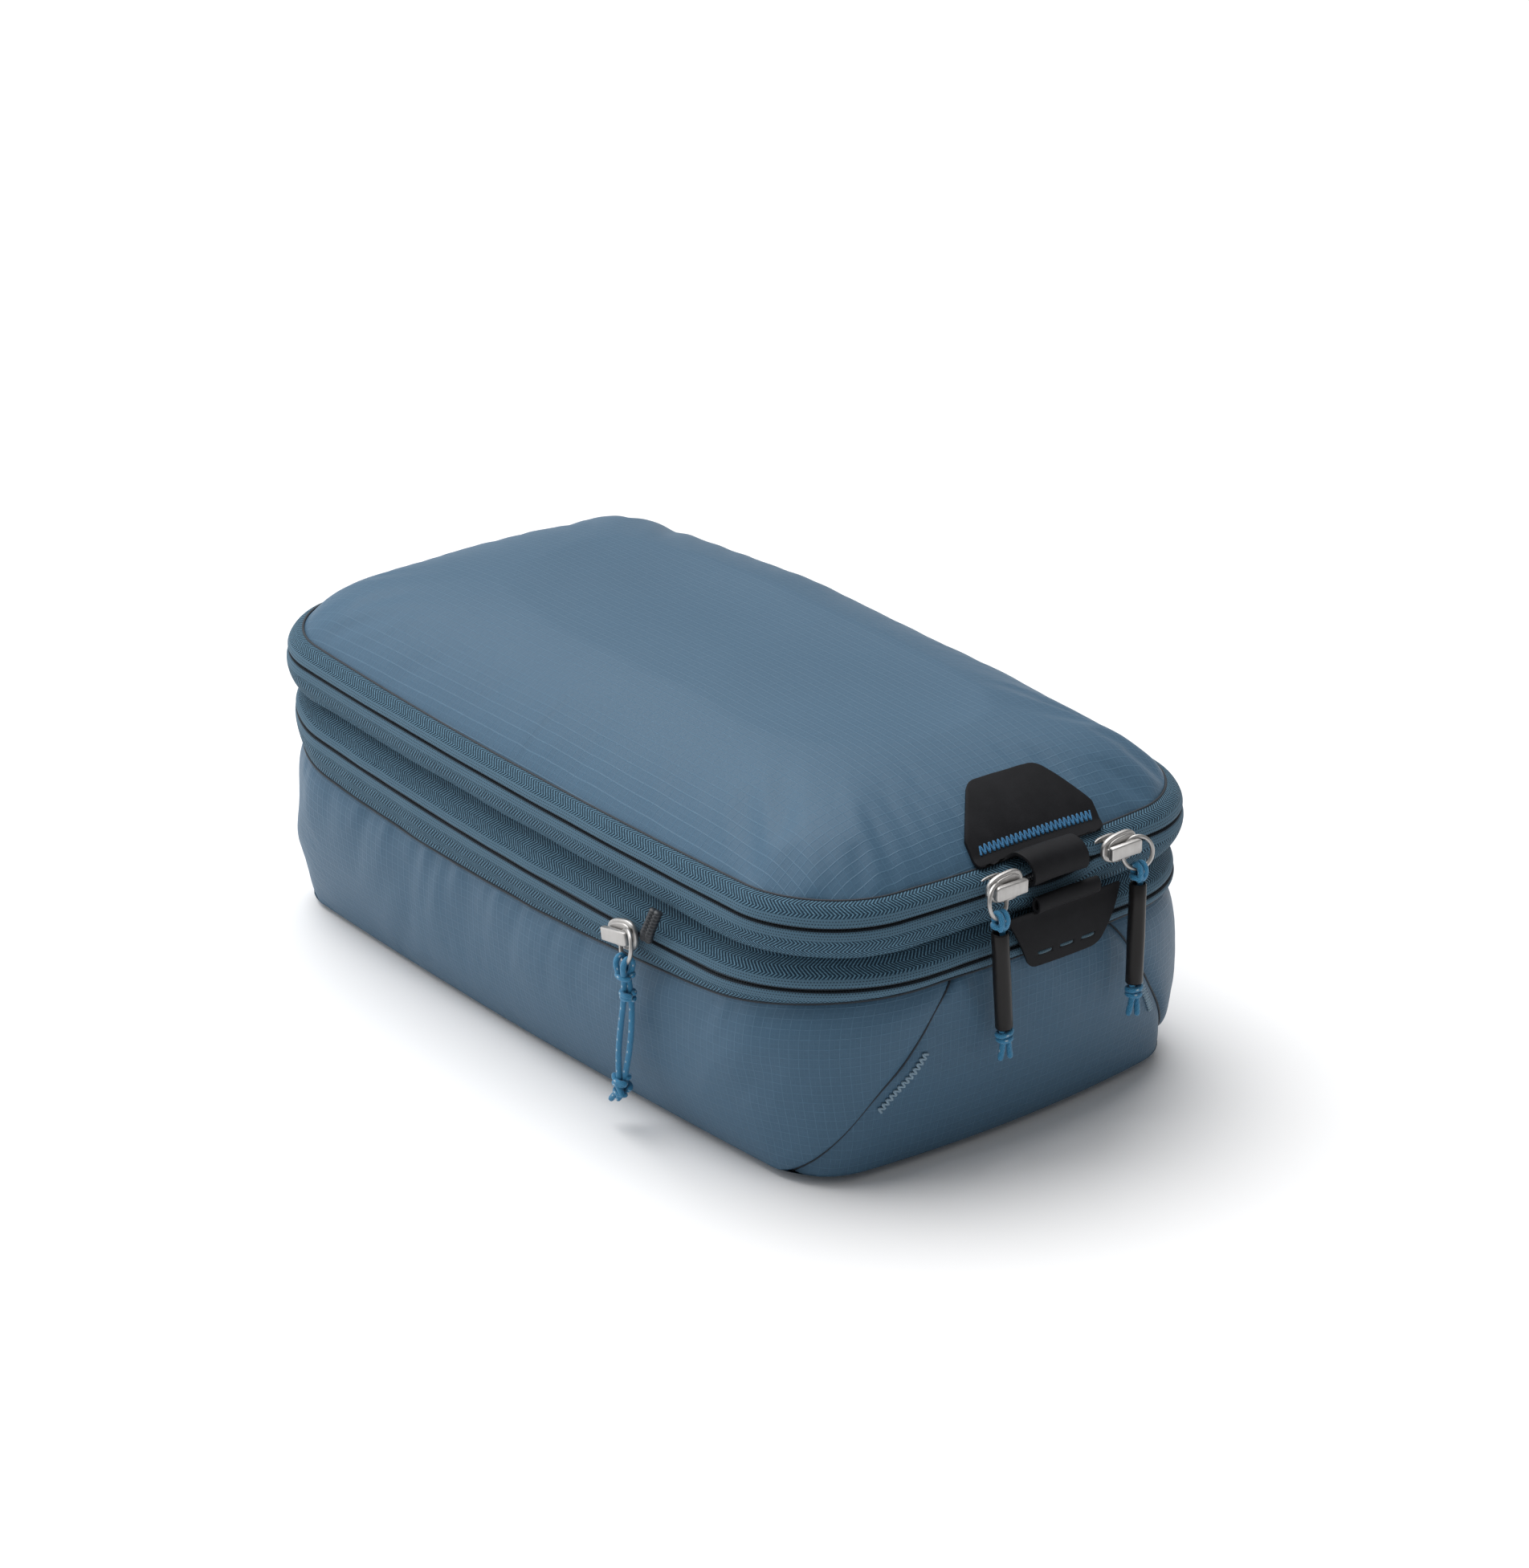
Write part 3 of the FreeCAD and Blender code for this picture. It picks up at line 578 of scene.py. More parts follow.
class Wall:
    """Wall coordinates at a slider: x along the zipper, y up the wall and z out of it."""

    def __init__(self, origin, up, out):
        self.origin = np.array(origin, float)
        self.z = np.array(out, float) / np.linalg.norm(out)
        self.y = np.array(up, float) / np.linalg.norm(up)
        self.x = np.cross(self.y, self.z)

    def at(self, points):
        points = np.atleast_2d(np.asarray(points, float))
        return self.origin + points[:, :1] * self.x + points[:, 1:2] * self.y + points[:, 2:3] * self.z


ROLL = math.radians(COMPRESSION_ROLL)
SIDE_RISE = 7.2  # the right wall leans out by this much over SIDE_RUN of height
SIDE_RUN = 48.0
SIDE_WALL_X = HALF_WIDTH - (8.0 - SIDE_RISE * (SIDE_LINE_HEIGHT - 4.0) / SIDE_RUN)
SIDE_SLIDER = (SIDE_WALL_X + 0.9, SIDE_SLIDER_Y, SIDE_LINE_HEIGHT)
WALLS = {
    "left": Wall(LEFT_SLIDER, (0, 0, 1), (0, -1, 0)),
    "right": Wall(RIGHT_SLIDER, (0, 0, 1), (0, -1, 0)),
    "compression": Wall(COMPRESSION_SLIDER, (0, math.sin(ROLL), math.cos(ROLL)), (-1, 0, 0)),
    "side": Wall(SIDE_SLIDER, (SIDE_RISE, 0, SIDE_RUN), (SIDE_RUN, 0, -SIDE_RISE)),
}
# Which way each slider's ring hangs along its zipper, in wall coordinates
RING_SIDE = {"left": -1, "right": 1, "compression": 1, "side": -1}
RING_RADIUS = 4.5
RING_DROOP = math.radians(30.0)
RING_SWUNG = math.radians(22.0)


def ring_facts(which):
    """Centre, plane directions and lowest point of a pull ring, in wall coordinates, as part.py has them."""
    side = RING_SIDE[which]
    level = np.array((side * math.cos(RING_DROOP), -math.sin(RING_DROOP), 0.0))
    tangent = np.array((side * math.sin(RING_DROOP), math.cos(RING_DROOP), 0.0))
    pivot = np.array((side * 4.9 - side * RING_RADIUS * math.cos(RING_DROOP), 0.0, 2.7))
    swung = level * math.cos(RING_SWUNG) + np.array((0.0, 0.0, math.sin(RING_SWUNG)))
    centre = pivot + swung * RING_RADIUS
    down = swung * math.sin(RING_DROOP) - tangent * math.cos(RING_DROOP)
    return centre, swung, tangent, centre + down * RING_RADIUS


# The compression pull's cord: two strands side by side from the ring to the end knot

STRAND_A = [
    (-85.8, -67.6, 49.0),
    (-86.0, -68.0, 43.2),
    (-85.9, -66.2, 34.4),
    (-86.1, -65.0, 25.4),
    (-85.5, -64.2, 17.0),
    (-85.4, -64.2, 11.6),
]
STRAND_B = [
    (-84.7, -67.8, 49.0),
    (-84.5, -69.2, 43.2),
    (-84.6, -69.3, 34.4),
    (-84.4, -67.8, 25.4),
    (-84.5, -65.6, 17.0),
    (-84.1, -64.6, 11.6),
]


def compression_strands():
    """The two strands, each with the points of its line."""
    pieces = []
    for name, route in (("a", STRAND_A), ("b", STRAND_B)):
        line = spline_line(route, 0.25)
        strand = tube("compression_strand_" + name, line, CORD / 2, around=CORD_SIDES, braid=CORD_BRAID)
        dress(strand, "pull_cord", "compression_pull", "compression_cord_" + name)
        pieces.append((strand, line))
    return pieces


def compression_hitch():
    """A lark's head on the ring: two lobes over the wire, and a turn that holds them together."""
    wall = WALLS["compression"]
    low = wall.at(ring_facts("compression")[3])[0]
    out = wall.z
    parts = []
    for shift, sway in ((-1.0, -0.7), (1.0, 0.6)):
        middle = low + FRONT * shift
        route = [
            middle + out * 0.5 + UP * -4.6 - FRONT * shift * 0.35,
            middle + out * 1.6 + UP * -2.8 + FRONT * sway * 0.5,
            middle + out * 2.0 + UP * 0.4 + FRONT * sway,
            middle + out * 0.3 + UP * 2.0 + FRONT * sway,
            middle - out * 1.6 + UP * 0.6 + FRONT * sway,
            middle - out * 1.2 + UP * -2.4 + FRONT * sway * 0.5,
            middle - out * 0.1 + UP * -4.8 - FRONT * shift * 0.35,
        ]
        parts.append(cord_piece("lobe", spline_line(route)))
    collar = low + UP * -3.6
    parts.append(cord_turn("collar", collar, FRONT, out, 2.4, 1.9, UP * 0.9))
    hitch = join("compression_hitch_cord", parts)
    return dress(hitch, "pull_cord", "compression_pull", "compression_pull_hitch")


def cord_turn(name, centre, across, out, half_across, half_out, rise):
    """A turn of cord round the strands, a flattened loop that climbs by rise."""
    angles = np.linspace(0, 2 * math.pi, 56)
    climb = np.linspace(-0.5, 0.5, len(angles))
    line = (
        centre
        + np.cos(angles)[:, None] * across * half_across
        + np.sin(angles)[:, None] * out * half_out
        + climb[:, None] * rise
    )
    return cord_piece(name, evenly(line, 0.3), 1.6)


def compression_knots():
    """The small knot under the hitch and the overhand knot near the ends, with their tails."""
    out = np.array((-1.0, 0.0, 0.0))
    first = np.array((-85.2, -68.5, 43.2))
    small = [
        cord_turn("turn", first + UP * 0.4, FRONT, out, 1.9, 1.6, UP * 0.7),
        cord_turn("turn", first - UP * 1.0, FRONT, out, 1.7, 1.5, UP * -0.6),
    ]
    small_knot = join("compression_knot_cord", small)
    dress(small_knot, "pull_cord", "compression_pull", "compression_pull_knot")
    last = np.array((-84.7, -64.6, 14.0))
    tied = []
    for height, size, lean in ((1.9, 2.1, 1.4), (0.2, 2.4, -1.6), (-1.7, 2.0, 1.1)):
        centre = last + UP * height
        tied.append(cord_turn("turn", centre, FRONT, out, size, 1.9, np.array((0, lean * 0.4, lean))))
    across_turn = [
        last + FRONT * -2.2 + out * 1.2 + UP * 3.0,
        last + FRONT * 0.4 + out * 2.4 + UP * 1.0,
        last + FRONT * 2.2 + out * 1.2 + UP * -2.6,
    ]
    tied.append(cord_piece("turn", spline_line(across_turn)))
    for shift, reach in ((-1.0, 4.6), (0.9, 3.4)):
        tail = [
            last + FRONT * shift * 0.6 + UP * -1.5,
            last + FRONT * (shift - 1.4) + out * 0.6 + UP * -3.4,
            last + FRONT * (shift * 1.8 - 2.6) + out * 0.9 - UP * (1.6 + reach),
        ]
        tied.append(cord_piece("tail", spline_line(tail)))
    end_knot = join("compression_end_cord", tied)
    dress(end_knot, "pull_cord", "compression_pull", "compression_end_knot")
    return small_knot, end_knot


strands = compression_strands()
hitch_piece = compression_hitch()
knot_pieces = compression_knots()


# Seam lines

CORNER_STEPS = 34
SIDE_STEPS = 140
END_STEPS = 64


def rounded_loop(half_x, half_y, radius):
    """Points round a rectangle with round corners.

    They start at the middle of the back end, and go by the left side and the front.
    """
    corners = ((90, -1, 1), (180, -1, -1), (270, 1, -1), (0, 1, 1))
    arcs = []
    for start, side, end in corners:
        angles = np.radians(start + np.linspace(0, 90, CORNER_STEPS + 1))
        x = side * (half_x - radius) + radius * np.cos(angles)
        y = end * (half_y - radius) + radius * np.sin(angles)
        arcs.append(np.stack((x, y), 1))
    middle = np.array(((0.0, half_y),))
    parts = [middle]
    counts = (END_STEPS // 2, SIDE_STEPS, END_STEPS, SIDE_STEPS)
    before = middle[0]
    for arc, count in zip(arcs, counts):
        run = np.linspace(before, arc[0], count + 1)[1:-1]
        parts += [run, arc]
        before = arc[-1]
    parts.append(np.linspace(before, middle[0], END_STEPS // 2 + 1)[1:-1])
    return np.concatenate(parts)


def seam_points(line):
    """The seam's points in space, one for each column."""
    half_x = HALF_WIDTH - SIDE_BOW - line.inset
    half_y = HALF_LENGTH - END_BOW - line.inset
    flat = rounded_loop(half_x, half_y, line.radius)
    end_share = np.abs(flat[:, 1]) / half_y
    side_share = np.abs(flat[:, 0]) / half_x
    x = flat[:, 0] * (1 + SIDE_BOW / half_x * (1 - end_share**2))
    y = flat[:, 1] * (1 + END_BOW / half_y * (1 - side_share**2))
    z = line.height - line.side_sag * (1 - end_share**2) - line.end_sag * (1 - side_share**2)
    z = z + line.tilt * flat[:, 1] / half_y
    return np.stack((x, y, z), 1)


def outward(loop):
    """The level direction out of the cube at each point of a loop."""
    ahead = unit((np.roll(loop, -1, 0) - np.roll(loop, 1, 0))[:, :2])
    return np.stack((ahead[:, 1], -ahead[:, 0], np.zeros(len(loop))), 1)


COLUMNS = len(seam_points(MAIN_LINE))
OUT = outward(seam_points(MAIN_LINE))
LOOP = {
    "lid": seam_points(LID_LINE),
    "main": seam_points(MAIN_LINE),
    "crease": seam_points(CREASE_LINE),
    "compression": seam_points(COMPRESSION_LINE),
    "lower": seam_points(LOWER_LINE),
    "edge": seam_points(EDGE_LINE),
}
TURN = lengths_along(np.concatenate((LOOP["main"], LOOP["main"][:1])))


def wavering(along, wavelength, seed):
    """Smooth irregular waves between about -1 and 1."""
    return np.array([noise.noise(Vector((float(a) / wavelength, seed, seed * 0.37))) * 1.6 for a in along])


def curved_rows(low, high, low_handle, high_handle, shares):
    """Rows from a lower loop to an upper one along curves. A handle is (out, up) in mm from its own end."""
    def reached(loop, handle):
        out, up = np.broadcast_to(handle[0], (COLUMNS,)), np.broadcast_to(handle[1], (COLUMNS,))
        return loop + OUT * out[:, None] + UP * up[:, None]

    second, third = reached(low, low_handle), reached(high, high_handle)
    rows = []
    for t in shares:
        row = low * (1 - t) ** 3 + second * 3 * t * (1 - t) ** 2 + third * 3 * t**2 * (1 - t) + high * t**3
        rows.append(row)
    return np.array(rows)


def weave_on(rows, coil_at_top):
    """Weave coordinates of a closed strip: distance along it, and distance from its coil edge."""
    middle = rows[len(rows) // 2]
    along = lengths_along(np.concatenate((middle, middle[:1])))
    steps = np.linalg.norm(np.diff(rows, axis=0), axis=2)
    up = np.concatenate((np.zeros((1, rows.shape[1])), np.cumsum(steps, 0)))
    away = up[-1:] - up if coil_at_top else up
    away = np.concatenate((away, away[:, :1]), 1)
    return np.stack((np.broadcast_to(along, away.shape), away), 2)


# Tapes

# Near each coil the two tape edges turn in towards it, leaving a narrow groove.
EDGE_IN = 0.9
EDGE_APART = 0.16

# The main zipper stands a little open between its two sliders.
ZIPPER_OPEN_CENTRE = 5.5
ZIPPER_OPEN_HALF = 15.5
ZIPPER_OPEN_RISE = 2.3


def groove_edge(loop, side, open_front=False):
    """The tape edge above (+1) or below (-1) a zipper line, turned in.

    With open_front, it stands open between the two main sliders.
    """
    apart = np.full(COLUMNS, EDGE_APART)
    if open_front:
        across = (loop[:, 0] - ZIPPER_OPEN_CENTRE) / ZIPPER_OPEN_HALF
        apart = apart + ZIPPER_OPEN_RISE * np.where(loop[:, 1] < 0, (1 - across**2).clip(0, 1), 0)
    return loop - OUT * EDGE_IN + UP * side * apart[:, None]


def pinched(loop, depth=0.9):
    """A sewn seam, drawn in."""
    return loop - OUT * depth


def tape_shares(rows):
    """Rows crowd towards both edges, where the tape turns in."""
    even = np.linspace(0, 1, rows)
    return 0.5 - 0.5 * np.cos(math.pi * even) * (0.55 + 0.45 * np.abs(np.cos(math.pi * even)))


def without_hinge(rows, uv):
    """Leaves out the columns in the middle of the back end."""
    kept = np.where((np.abs(rows[0, :, 0]) > HINGE_HALF) | (rows[0, :, 1] < 0))[0]
    return rows[:, kept], uv[:, kept]


def at_hinge(rows):
    """Only those columns, from the right of the back end to its left as seen from behind."""
    columns = np.arange(COLUMNS)
    near = (np.abs(rows[0, :, 0]) <= HINGE_HALF + 1.5) & (rows[0, :, 1] > 0)
    after = columns[near & (columns > COLUMNS // 2)]
    before = columns[near & (columns <= COLUMNS // 2)]
    return rows[:, np.concatenate((after, before))]


def rippled(rows, amplitude, wavelength, seed):
    """Lets a strip's middle waver in and out."""
    shares = np.linspace(0, 1, len(rows))
    moved = rows.copy()
    for number, share in enumerate(shares):
        swell = math.sin(math.pi * share)
        wave = wavering(TURN[:-1], wavelength, seed + share * 0.35)
        moved[number] += OUT * (amplitude * swell * wave)[:, None]
    return moved


def tape_strip(name, low, high, handles, coil_at_top, body, node, ripple, open_back=False):
    """A zipper tape between two loops. handles are the lower loop's and the upper one's."""
    rows = curved_rows(low, high, *handles, tape_shares(22))
    rows = rippled(rows, *ripple)
    uv = weave_on(rows, coil_at_top)
    if open_back:
        rows, uv = without_hinge(rows, uv)
    piece = sheet_of(name, rows, uv, closed=not open_back)
    return dress(piece, "zipper_tape", body, node)


near_corner = np.clip(1 - np.abs(np.abs(LOOP["main"][:, 1]) - HALF_LENGTH + 20) / 40, 0, 1)
crease_wave = wavering(TURN[:-1], 30.0, 3.3) * 0.35 + wavering(TURN[:-1], 9.0, 8.1) * 0.12

LOOP["crease"] = LOOP["crease"] + UP * crease_wave[:, None]
LOOP["lower"] = LOOP["lower"] + UP * (wavering(TURN[:-1], 22.0, 5.7) * 0.3)[:, None]


def make_tapes():
    main, crease, compression = LOOP["main"], LOOP["crease"], LOOP["compression"]
    tape_strip(
        "upper_main_tape", groove_edge(main, 1, True), pinched(LOOP["lid"]), ((2.2, 0.9), (2.6, 0.9)),
        False, "lid", "main_upper_tape", (0.16, 16.0, 1.7), open_back=True,
    )
    tape_strip(
        "lower_main_tape", pinched(crease, 2.0), groove_edge(main, -1, True), ((4.6, -2.6), (3.0, -2.2)),
        True, "band", "main_lower_tape", (0.30, 19.0, 4.1), open_back=True,
    )
    tape_strip(
        "upper_compression_tape", groove_edge(compression, 1), pinched(crease, 2.2),
        ((1.9, 1.8), (1.6, -1.6)), False, "band", "compression_upper_tape", (0.45, 15.0, 6.3),
    )
    tape_strip(
        "lower_compression_tape", pinched(LOOP["lower"], 1.1), groove_edge(compression, -1),
        ((1.8, 0.8), (1.7, -1.2)), True, "base", "compression_lower_tape", (0.30, 14.0, 9.2),
    )


make_tapes()


TOOTH_PITCH = 0.8


def teeth(name, loop, side, body, node, open_back):
    """Half of a coil: a row of small nylon loops behind the tape edge."""
    line = loop - OUT * (EDGE_IN + 0.75) + UP * (side * 0.55)
    if open_back:
        kept = (np.abs(line[:, 0]) > HINGE_HALF) | (line[:, 1] < 0)
        line, out = line[kept], OUT[kept]
    else:
        line = np.concatenate((line, line[:1]))
        out = np.concatenate((OUT, OUT[:1]))
    far = lengths_along(line)
    places = np.arange(0, far[-1], TOOTH_PITCH / 4)
    phase = 2 * math.pi * places / TOOTH_PITCH
    coil = at_distances(places, far, line)
    coil = coil + unit(at_distances(places, far, out)) * (0.55 * np.sin(phase))[:, None]
    coil = coil + UP * (-side * 0.75 * np.cos(phase))[:, None]
    return dress(tube(name, coil, 0.24, around=5), "zipper_coil", body, node)


teeth("upper_main_teeth", LOOP["main"], 1, "lid", "main_upper_coil", True)
teeth("lower_main_teeth", LOOP["main"], -1, "band", "main_lower_coil", True)
teeth("upper_compression_teeth", LOOP["compression"], 1, "band", "compression_upper_coil", False)
teeth("lower_compression_teeth", LOOP["compression"], -1, "base", "compression_lower_coil", False)


def seam_thread_painted_shade(name, line, body, radius):
    """A thread tube sunk in a seam, coloured near-black as painted shade for the seam's groove."""
    dress(tube(name, line, radius, around=8, closed=True), "blue_thread", body, look="seam_thread_painted_shade")


# Near-black tubes along the lid, lower and crease seams: painted shade in their grooves.
seam_thread_painted_shade("lid_seam_line", pinched(LOOP["lid"], 0.35) + UP * 0.05, "lid", 0.4)
seam_thread_painted_shade("lower_seam_line", pinched(LOOP["lower"], 0.75), "base", 0.42)
seam_thread_painted_shade("crease_seam_line", pinched(LOOP["crease"], 1.7), "band", 0.5)


# Cloth


STIFFNESS = 12.0
FURTHEST = 3.0  # no point of a cloth moves more than this


def relaxed(piece, pins, rest, frames, pressure, bending):
    """Lets a sheet settle as cloth. pins is each vertex's hold, and rest its shape with no tension, in mm."""
    start = points_of(piece.data)
    piece.data.transform(Matrix.Scale(FABRIC_SCALE, 4))
    group = piece.vertex_groups.new(name="Pins")
    for number, hold in enumerate(pins):
        if hold > 0:
            group.add([number], float(hold), "REPLACE")
    piece.shape_key_add(name="Basis")
    key = piece.shape_key_add(name="Rest")
    key.data.foreach_set("co", (np.asarray(rest) * MM * FABRIC_SCALE).ravel())
    modifier = piece.modifiers.new("Cloth", "CLOTH")
    settings = modifier.settings
    settings.vertex_group_mass = "Pins"
    settings.rest_shape_key = key
    settings.quality = 6
    settings.mass = 0.25
    settings.tension_stiffness = STIFFNESS
    settings.compression_stiffness = STIFFNESS
    settings.shear_stiffness = STIFFNESS * 0.5
    settings.bending_stiffness = bending
    settings.tension_damping = 8.0
    settings.compression_damping = 8.0
    settings.shear_damping = 8.0
    settings.bending_damping = 1.0
    settings.air_damping = 4.0
    settings.effector_weights.gravity = 0.0
    settings.use_pressure = pressure > 0
    settings.uniform_pressure_force = pressure
    modifier.collision_settings.use_collision = False
    modifier.point_cache.frame_end = frames
    scene = bpy.context.scene
    for number in range(1, frames + 1):
        scene.frame_set(number)
    evaluated = piece.evaluated_get(bpy.context.evaluated_depsgraph_get())
    settled = points_of(evaluated.data) / FABRIC_SCALE
    scene.frame_set(1)
    piece.modifiers.clear()
    piece.shape_key_clear()
    piece.vertex_groups.clear()
    moved = settled - start
    far = np.linalg.norm(moved, axis=1, keepdims=True)
    settled = start + moved * np.minimum(1.0, FURTHEST * MM / np.maximum(far, 1e-9))
    piece.data.vertices.foreach_set("co", settled.ravel())
    piece.data.update()


def filled(front, back, left, right):
    """A grid across four edges that meet at the corners, blended from them."""
    across = np.linspace(0, 1, len(front))[None, :, None]
    along = np.linspace(0, 1, len(left))[:, None, None]
    grid = (1 - along) * front[None] + along * back[None]
    grid = grid + (1 - across) * left[:, None] + across * right[:, None]
    corners = (1 - along) * ((1 - across) * front[0] + across * front[-1])
    corners = corners + along * ((1 - across) * back[0] + across * back[-1])
    return grid - corners


def four_edges(loop, across, along):
    """Cuts a loop at the middles of its corners and spaces each edge evenly."""
    corner = [END_STEPS // 2 + CORNER_STEPS // 2]
    corner.append(corner[0] + CORNER_STEPS + SIDE_STEPS)
    corner.append(corner[1] + CORNER_STEPS + END_STEPS)
    corner.append(corner[2] + CORNER_STEPS + SIDE_STEPS)
    ring = np.concatenate((loop, loop))

    def edge(first, last, count):
        part = ring[first : last + 1]
        far = lengths_along(part)
        places = np.linspace(0, far[-1], count + 1)
        return at_distances(places, far, part)

    left = edge(corner[0], corner[1], along)[::-1]
    front = edge(corner[1], corner[2], across)
    right = edge(corner[2], corner[3], along)
    back = edge(corner[3], corner[0] + COLUMNS, across)[::-1]
    return front, back, left, right


def distance_inside(grid):
    """How far each point of a sheet is from the sheet's edge, seen from above."""
    flat = grid[..., :2]
    rim = np.concatenate((flat[0], flat[-1], flat[:, 0], flat[:, -1]))
    return np.array([np.linalg.norm(row[:, None] - rim[None], axis=2).min(1) for row in flat])


LID_ACROSS = 84
LID_ALONG = 150
LID_HALF_X = 74.0
LID_HALF_Y = 134.0
PILLOW_RISE = 14.5  # the stuffed lid rises this much close to its seam
DOME_RISE = 4.5  # and this much more towards its middle
RIGHT_SWELL = 3.6  # and this much more along its right side


def gather(along, away, wavelength, seed, reach):
    """Small folds that run in from a seam and die out."""
    values = [
        noise.noise(Vector((float(a) / wavelength, float(d) * 0.02, seed)))
        for a, d in zip(along.ravel(), away.ravel())
    ]
    wave = np.array(values).reshape(along.shape)
    return 2.0 * wave * np.exp(-away / reach) * np.clip(away / 2.0, 0, 1)


def make_lid():
    """The lid's cloth: a stuffed pillow, gathered along its front seam."""
    grid = filled(*four_edges(pinched(LOOP["lid"], 0.7) - UP * 0.25, LID_ACROSS, LID_ALONG))
    x, y = grid[..., 0], grid[..., 1]
    away = distance_inside(grid)
    corner = np.abs(x / LID_HALF_X) ** 3 * np.abs(y / LID_HALF_Y) ** 3
    pillow = PILLOW_RISE * (1 - (1 - np.minimum(away / 70.0, 1)) ** 7) * (1 - 0.5 * corner)
    dome = DOME_RISE * (1 - (x / LID_HALF_X) ** 2).clip(0, 1) * (1 - (y / LID_HALF_Y) ** 2).clip(0, 1)
    dome = dome + RIGHT_SWELL * np.exp(-(((x - 56.0) / 24.0) ** 2)) * (1 - (y / LID_HALF_Y) ** 2).clip(0, 1)
    soft = noise_field(x, y, 60.0, 2.2) * 0.7 + noise_field(x, y, 26.0, 7.4) * 0.22
    calm = np.clip(away / 18.0, 0, 1)
    near_front = np.clip((-y - 60.0) / 60.0, 0, 1)
    angle = np.arctan2(y / LID_HALF_Y, x / LID_HALF_X) * 105.0
    under_patch = np.exp(-(((x - 7.0) / 24.0) ** 4) - ((y + 130.0) / 32.0) ** 4)
    folds = gather(angle, away, 6.5, 4.4, 11.0) * (0.35 + 1.0 * near_front) * (1 - under_patch)
    calm = calm * (1 - under_patch)
    grid[..., 2] += pillow + dome + soft * calm + folds * 0.55
    flat = np.stack((x, y), 2)
    piece = sheet_of("lid_cloth", grid, flat)
    rest = grid.copy()
    excess = 1.006 + 0.012 * near_front * np.exp(-away / 20.0)
    rest[..., 0] *= excess
    rest[..., 1] = grid[..., 1] * 1.004
    pins = np.zeros(x.shape)
    pins[[0, -1]] = 1
    pins[:, [0, -1]] = 1
    relaxed(piece, pins.ravel(), rest.reshape(-1, 3), frames=18, pressure=0.6, bending=1.2)
    subdivide(piece)
    dress(piece, "shell_fabric", "lid", "lid_panel")
    return piece


def noise_field(x, y, wavelength, seed):
    """Smooth noise over a grid, between about -1 and 1."""
    values = [
        noise.noise(Vector((float(a) / wavelength, float(b) / wavelength, seed))) * 1.6
        for a, b in zip(x.ravel(), y.ravel())
    ]
    return np.array(values).reshape(x.shape)


lid_cloth = make_lid()


# Base

BASE_ROWS = 30
SIDE_COLUMNS = 190
END_COLUMNS = 62
DART_PULL = 1.5  # how far a dart draws the cloth in
DART_CREASE = ((-2, 0.12), (-1, 0.42), (0, 1.0), (1, 0.42), (2, 0.12))  # columns from it, and their share
PANEL_ORDER = ("left", "front", "right", "back")


def dart_half(height):
    share = (DART_TOP_HEIGHT - height) / (DART_TOP_HEIGHT - DART_FOOT_HEIGHT)
    return DART_TOP + (DART_FOOT - DART_TOP) * share


def base_rings():
    """Dense loops from the base edge up to the lower seam."""
    slack = 1.5 + 1.3 * np.clip(1 - near_corner, 0, 1)
    shares = np.linspace(0, 1, BASE_ROWS) ** 0.9
    return curved_rows(LOOP["edge"], pinched(LOOP["lower"], 1.3), (3.0, 13.0), (4.4 + slack, -9.0), shares)


def cut_at_darts(ring):
    """Where the four darts cross a loop, as distances along it, in order round the cube."""
    far = lengths_along(np.concatenate((ring, ring[:1])))[:-1]
    side = np.abs(ring[:, 0]) - dart_half(ring[:, 2])
    crossings = []
    for number in range(len(ring)):
        following = (number + 1) % len(ring)
        crosses = side[number] * side[following] <= 0 and side[number] != side[following]
        if abs(ring[number, 1]) > 80 and crosses:
            share = side[number] / (side[number] - side[following])
            crossings.append(far[number] + share * np.linalg.norm(ring[following] - ring[number]))
    return crossings


def along_ring(ring, places):
    around = np.concatenate((ring, ring[:1]))
    far = lengths_along(around)
    places = np.mod(places, far[-1])
    return at_distances(places, far, around)


def base_panels():
    """Grids of the four wall panels, from the base edge up: left, front, right and back."""
    rings = base_rings()
    panels = {side: [] for side in PANEL_ORDER}
    weave = {side: [] for side in PANEL_ORDER}
    climb = 0.0
    for number, ring in enumerate(rings):
        if number:
            climb += np.linalg.norm(ring - rings[number - 1], axis=1).mean()
        back_left, front_left, front_right, back_right = cut_at_darts(ring)
        total = lengths_along(np.concatenate((ring, ring[:1])))[-1]
        spans = {
            "left": (back_left, front_left, SIDE_COLUMNS),
            "front": (front_left, front_right, END_COLUMNS),
            "right": (front_right, back_right, SIDE_COLUMNS),
            "back": (back_right, back_left + total, END_COLUMNS),
        }
        for side, (first, last, count) in spans.items():
            places = np.linspace(first, last, count + 1)
            panels[side].append(along_ring(ring, places))
            weave[side].append(np.stack((places - (first + last) / 2, np.full(count + 1, climb)), 1))
    return {side: (np.array(panels[side]), np.array(weave[side])) for side in panels}


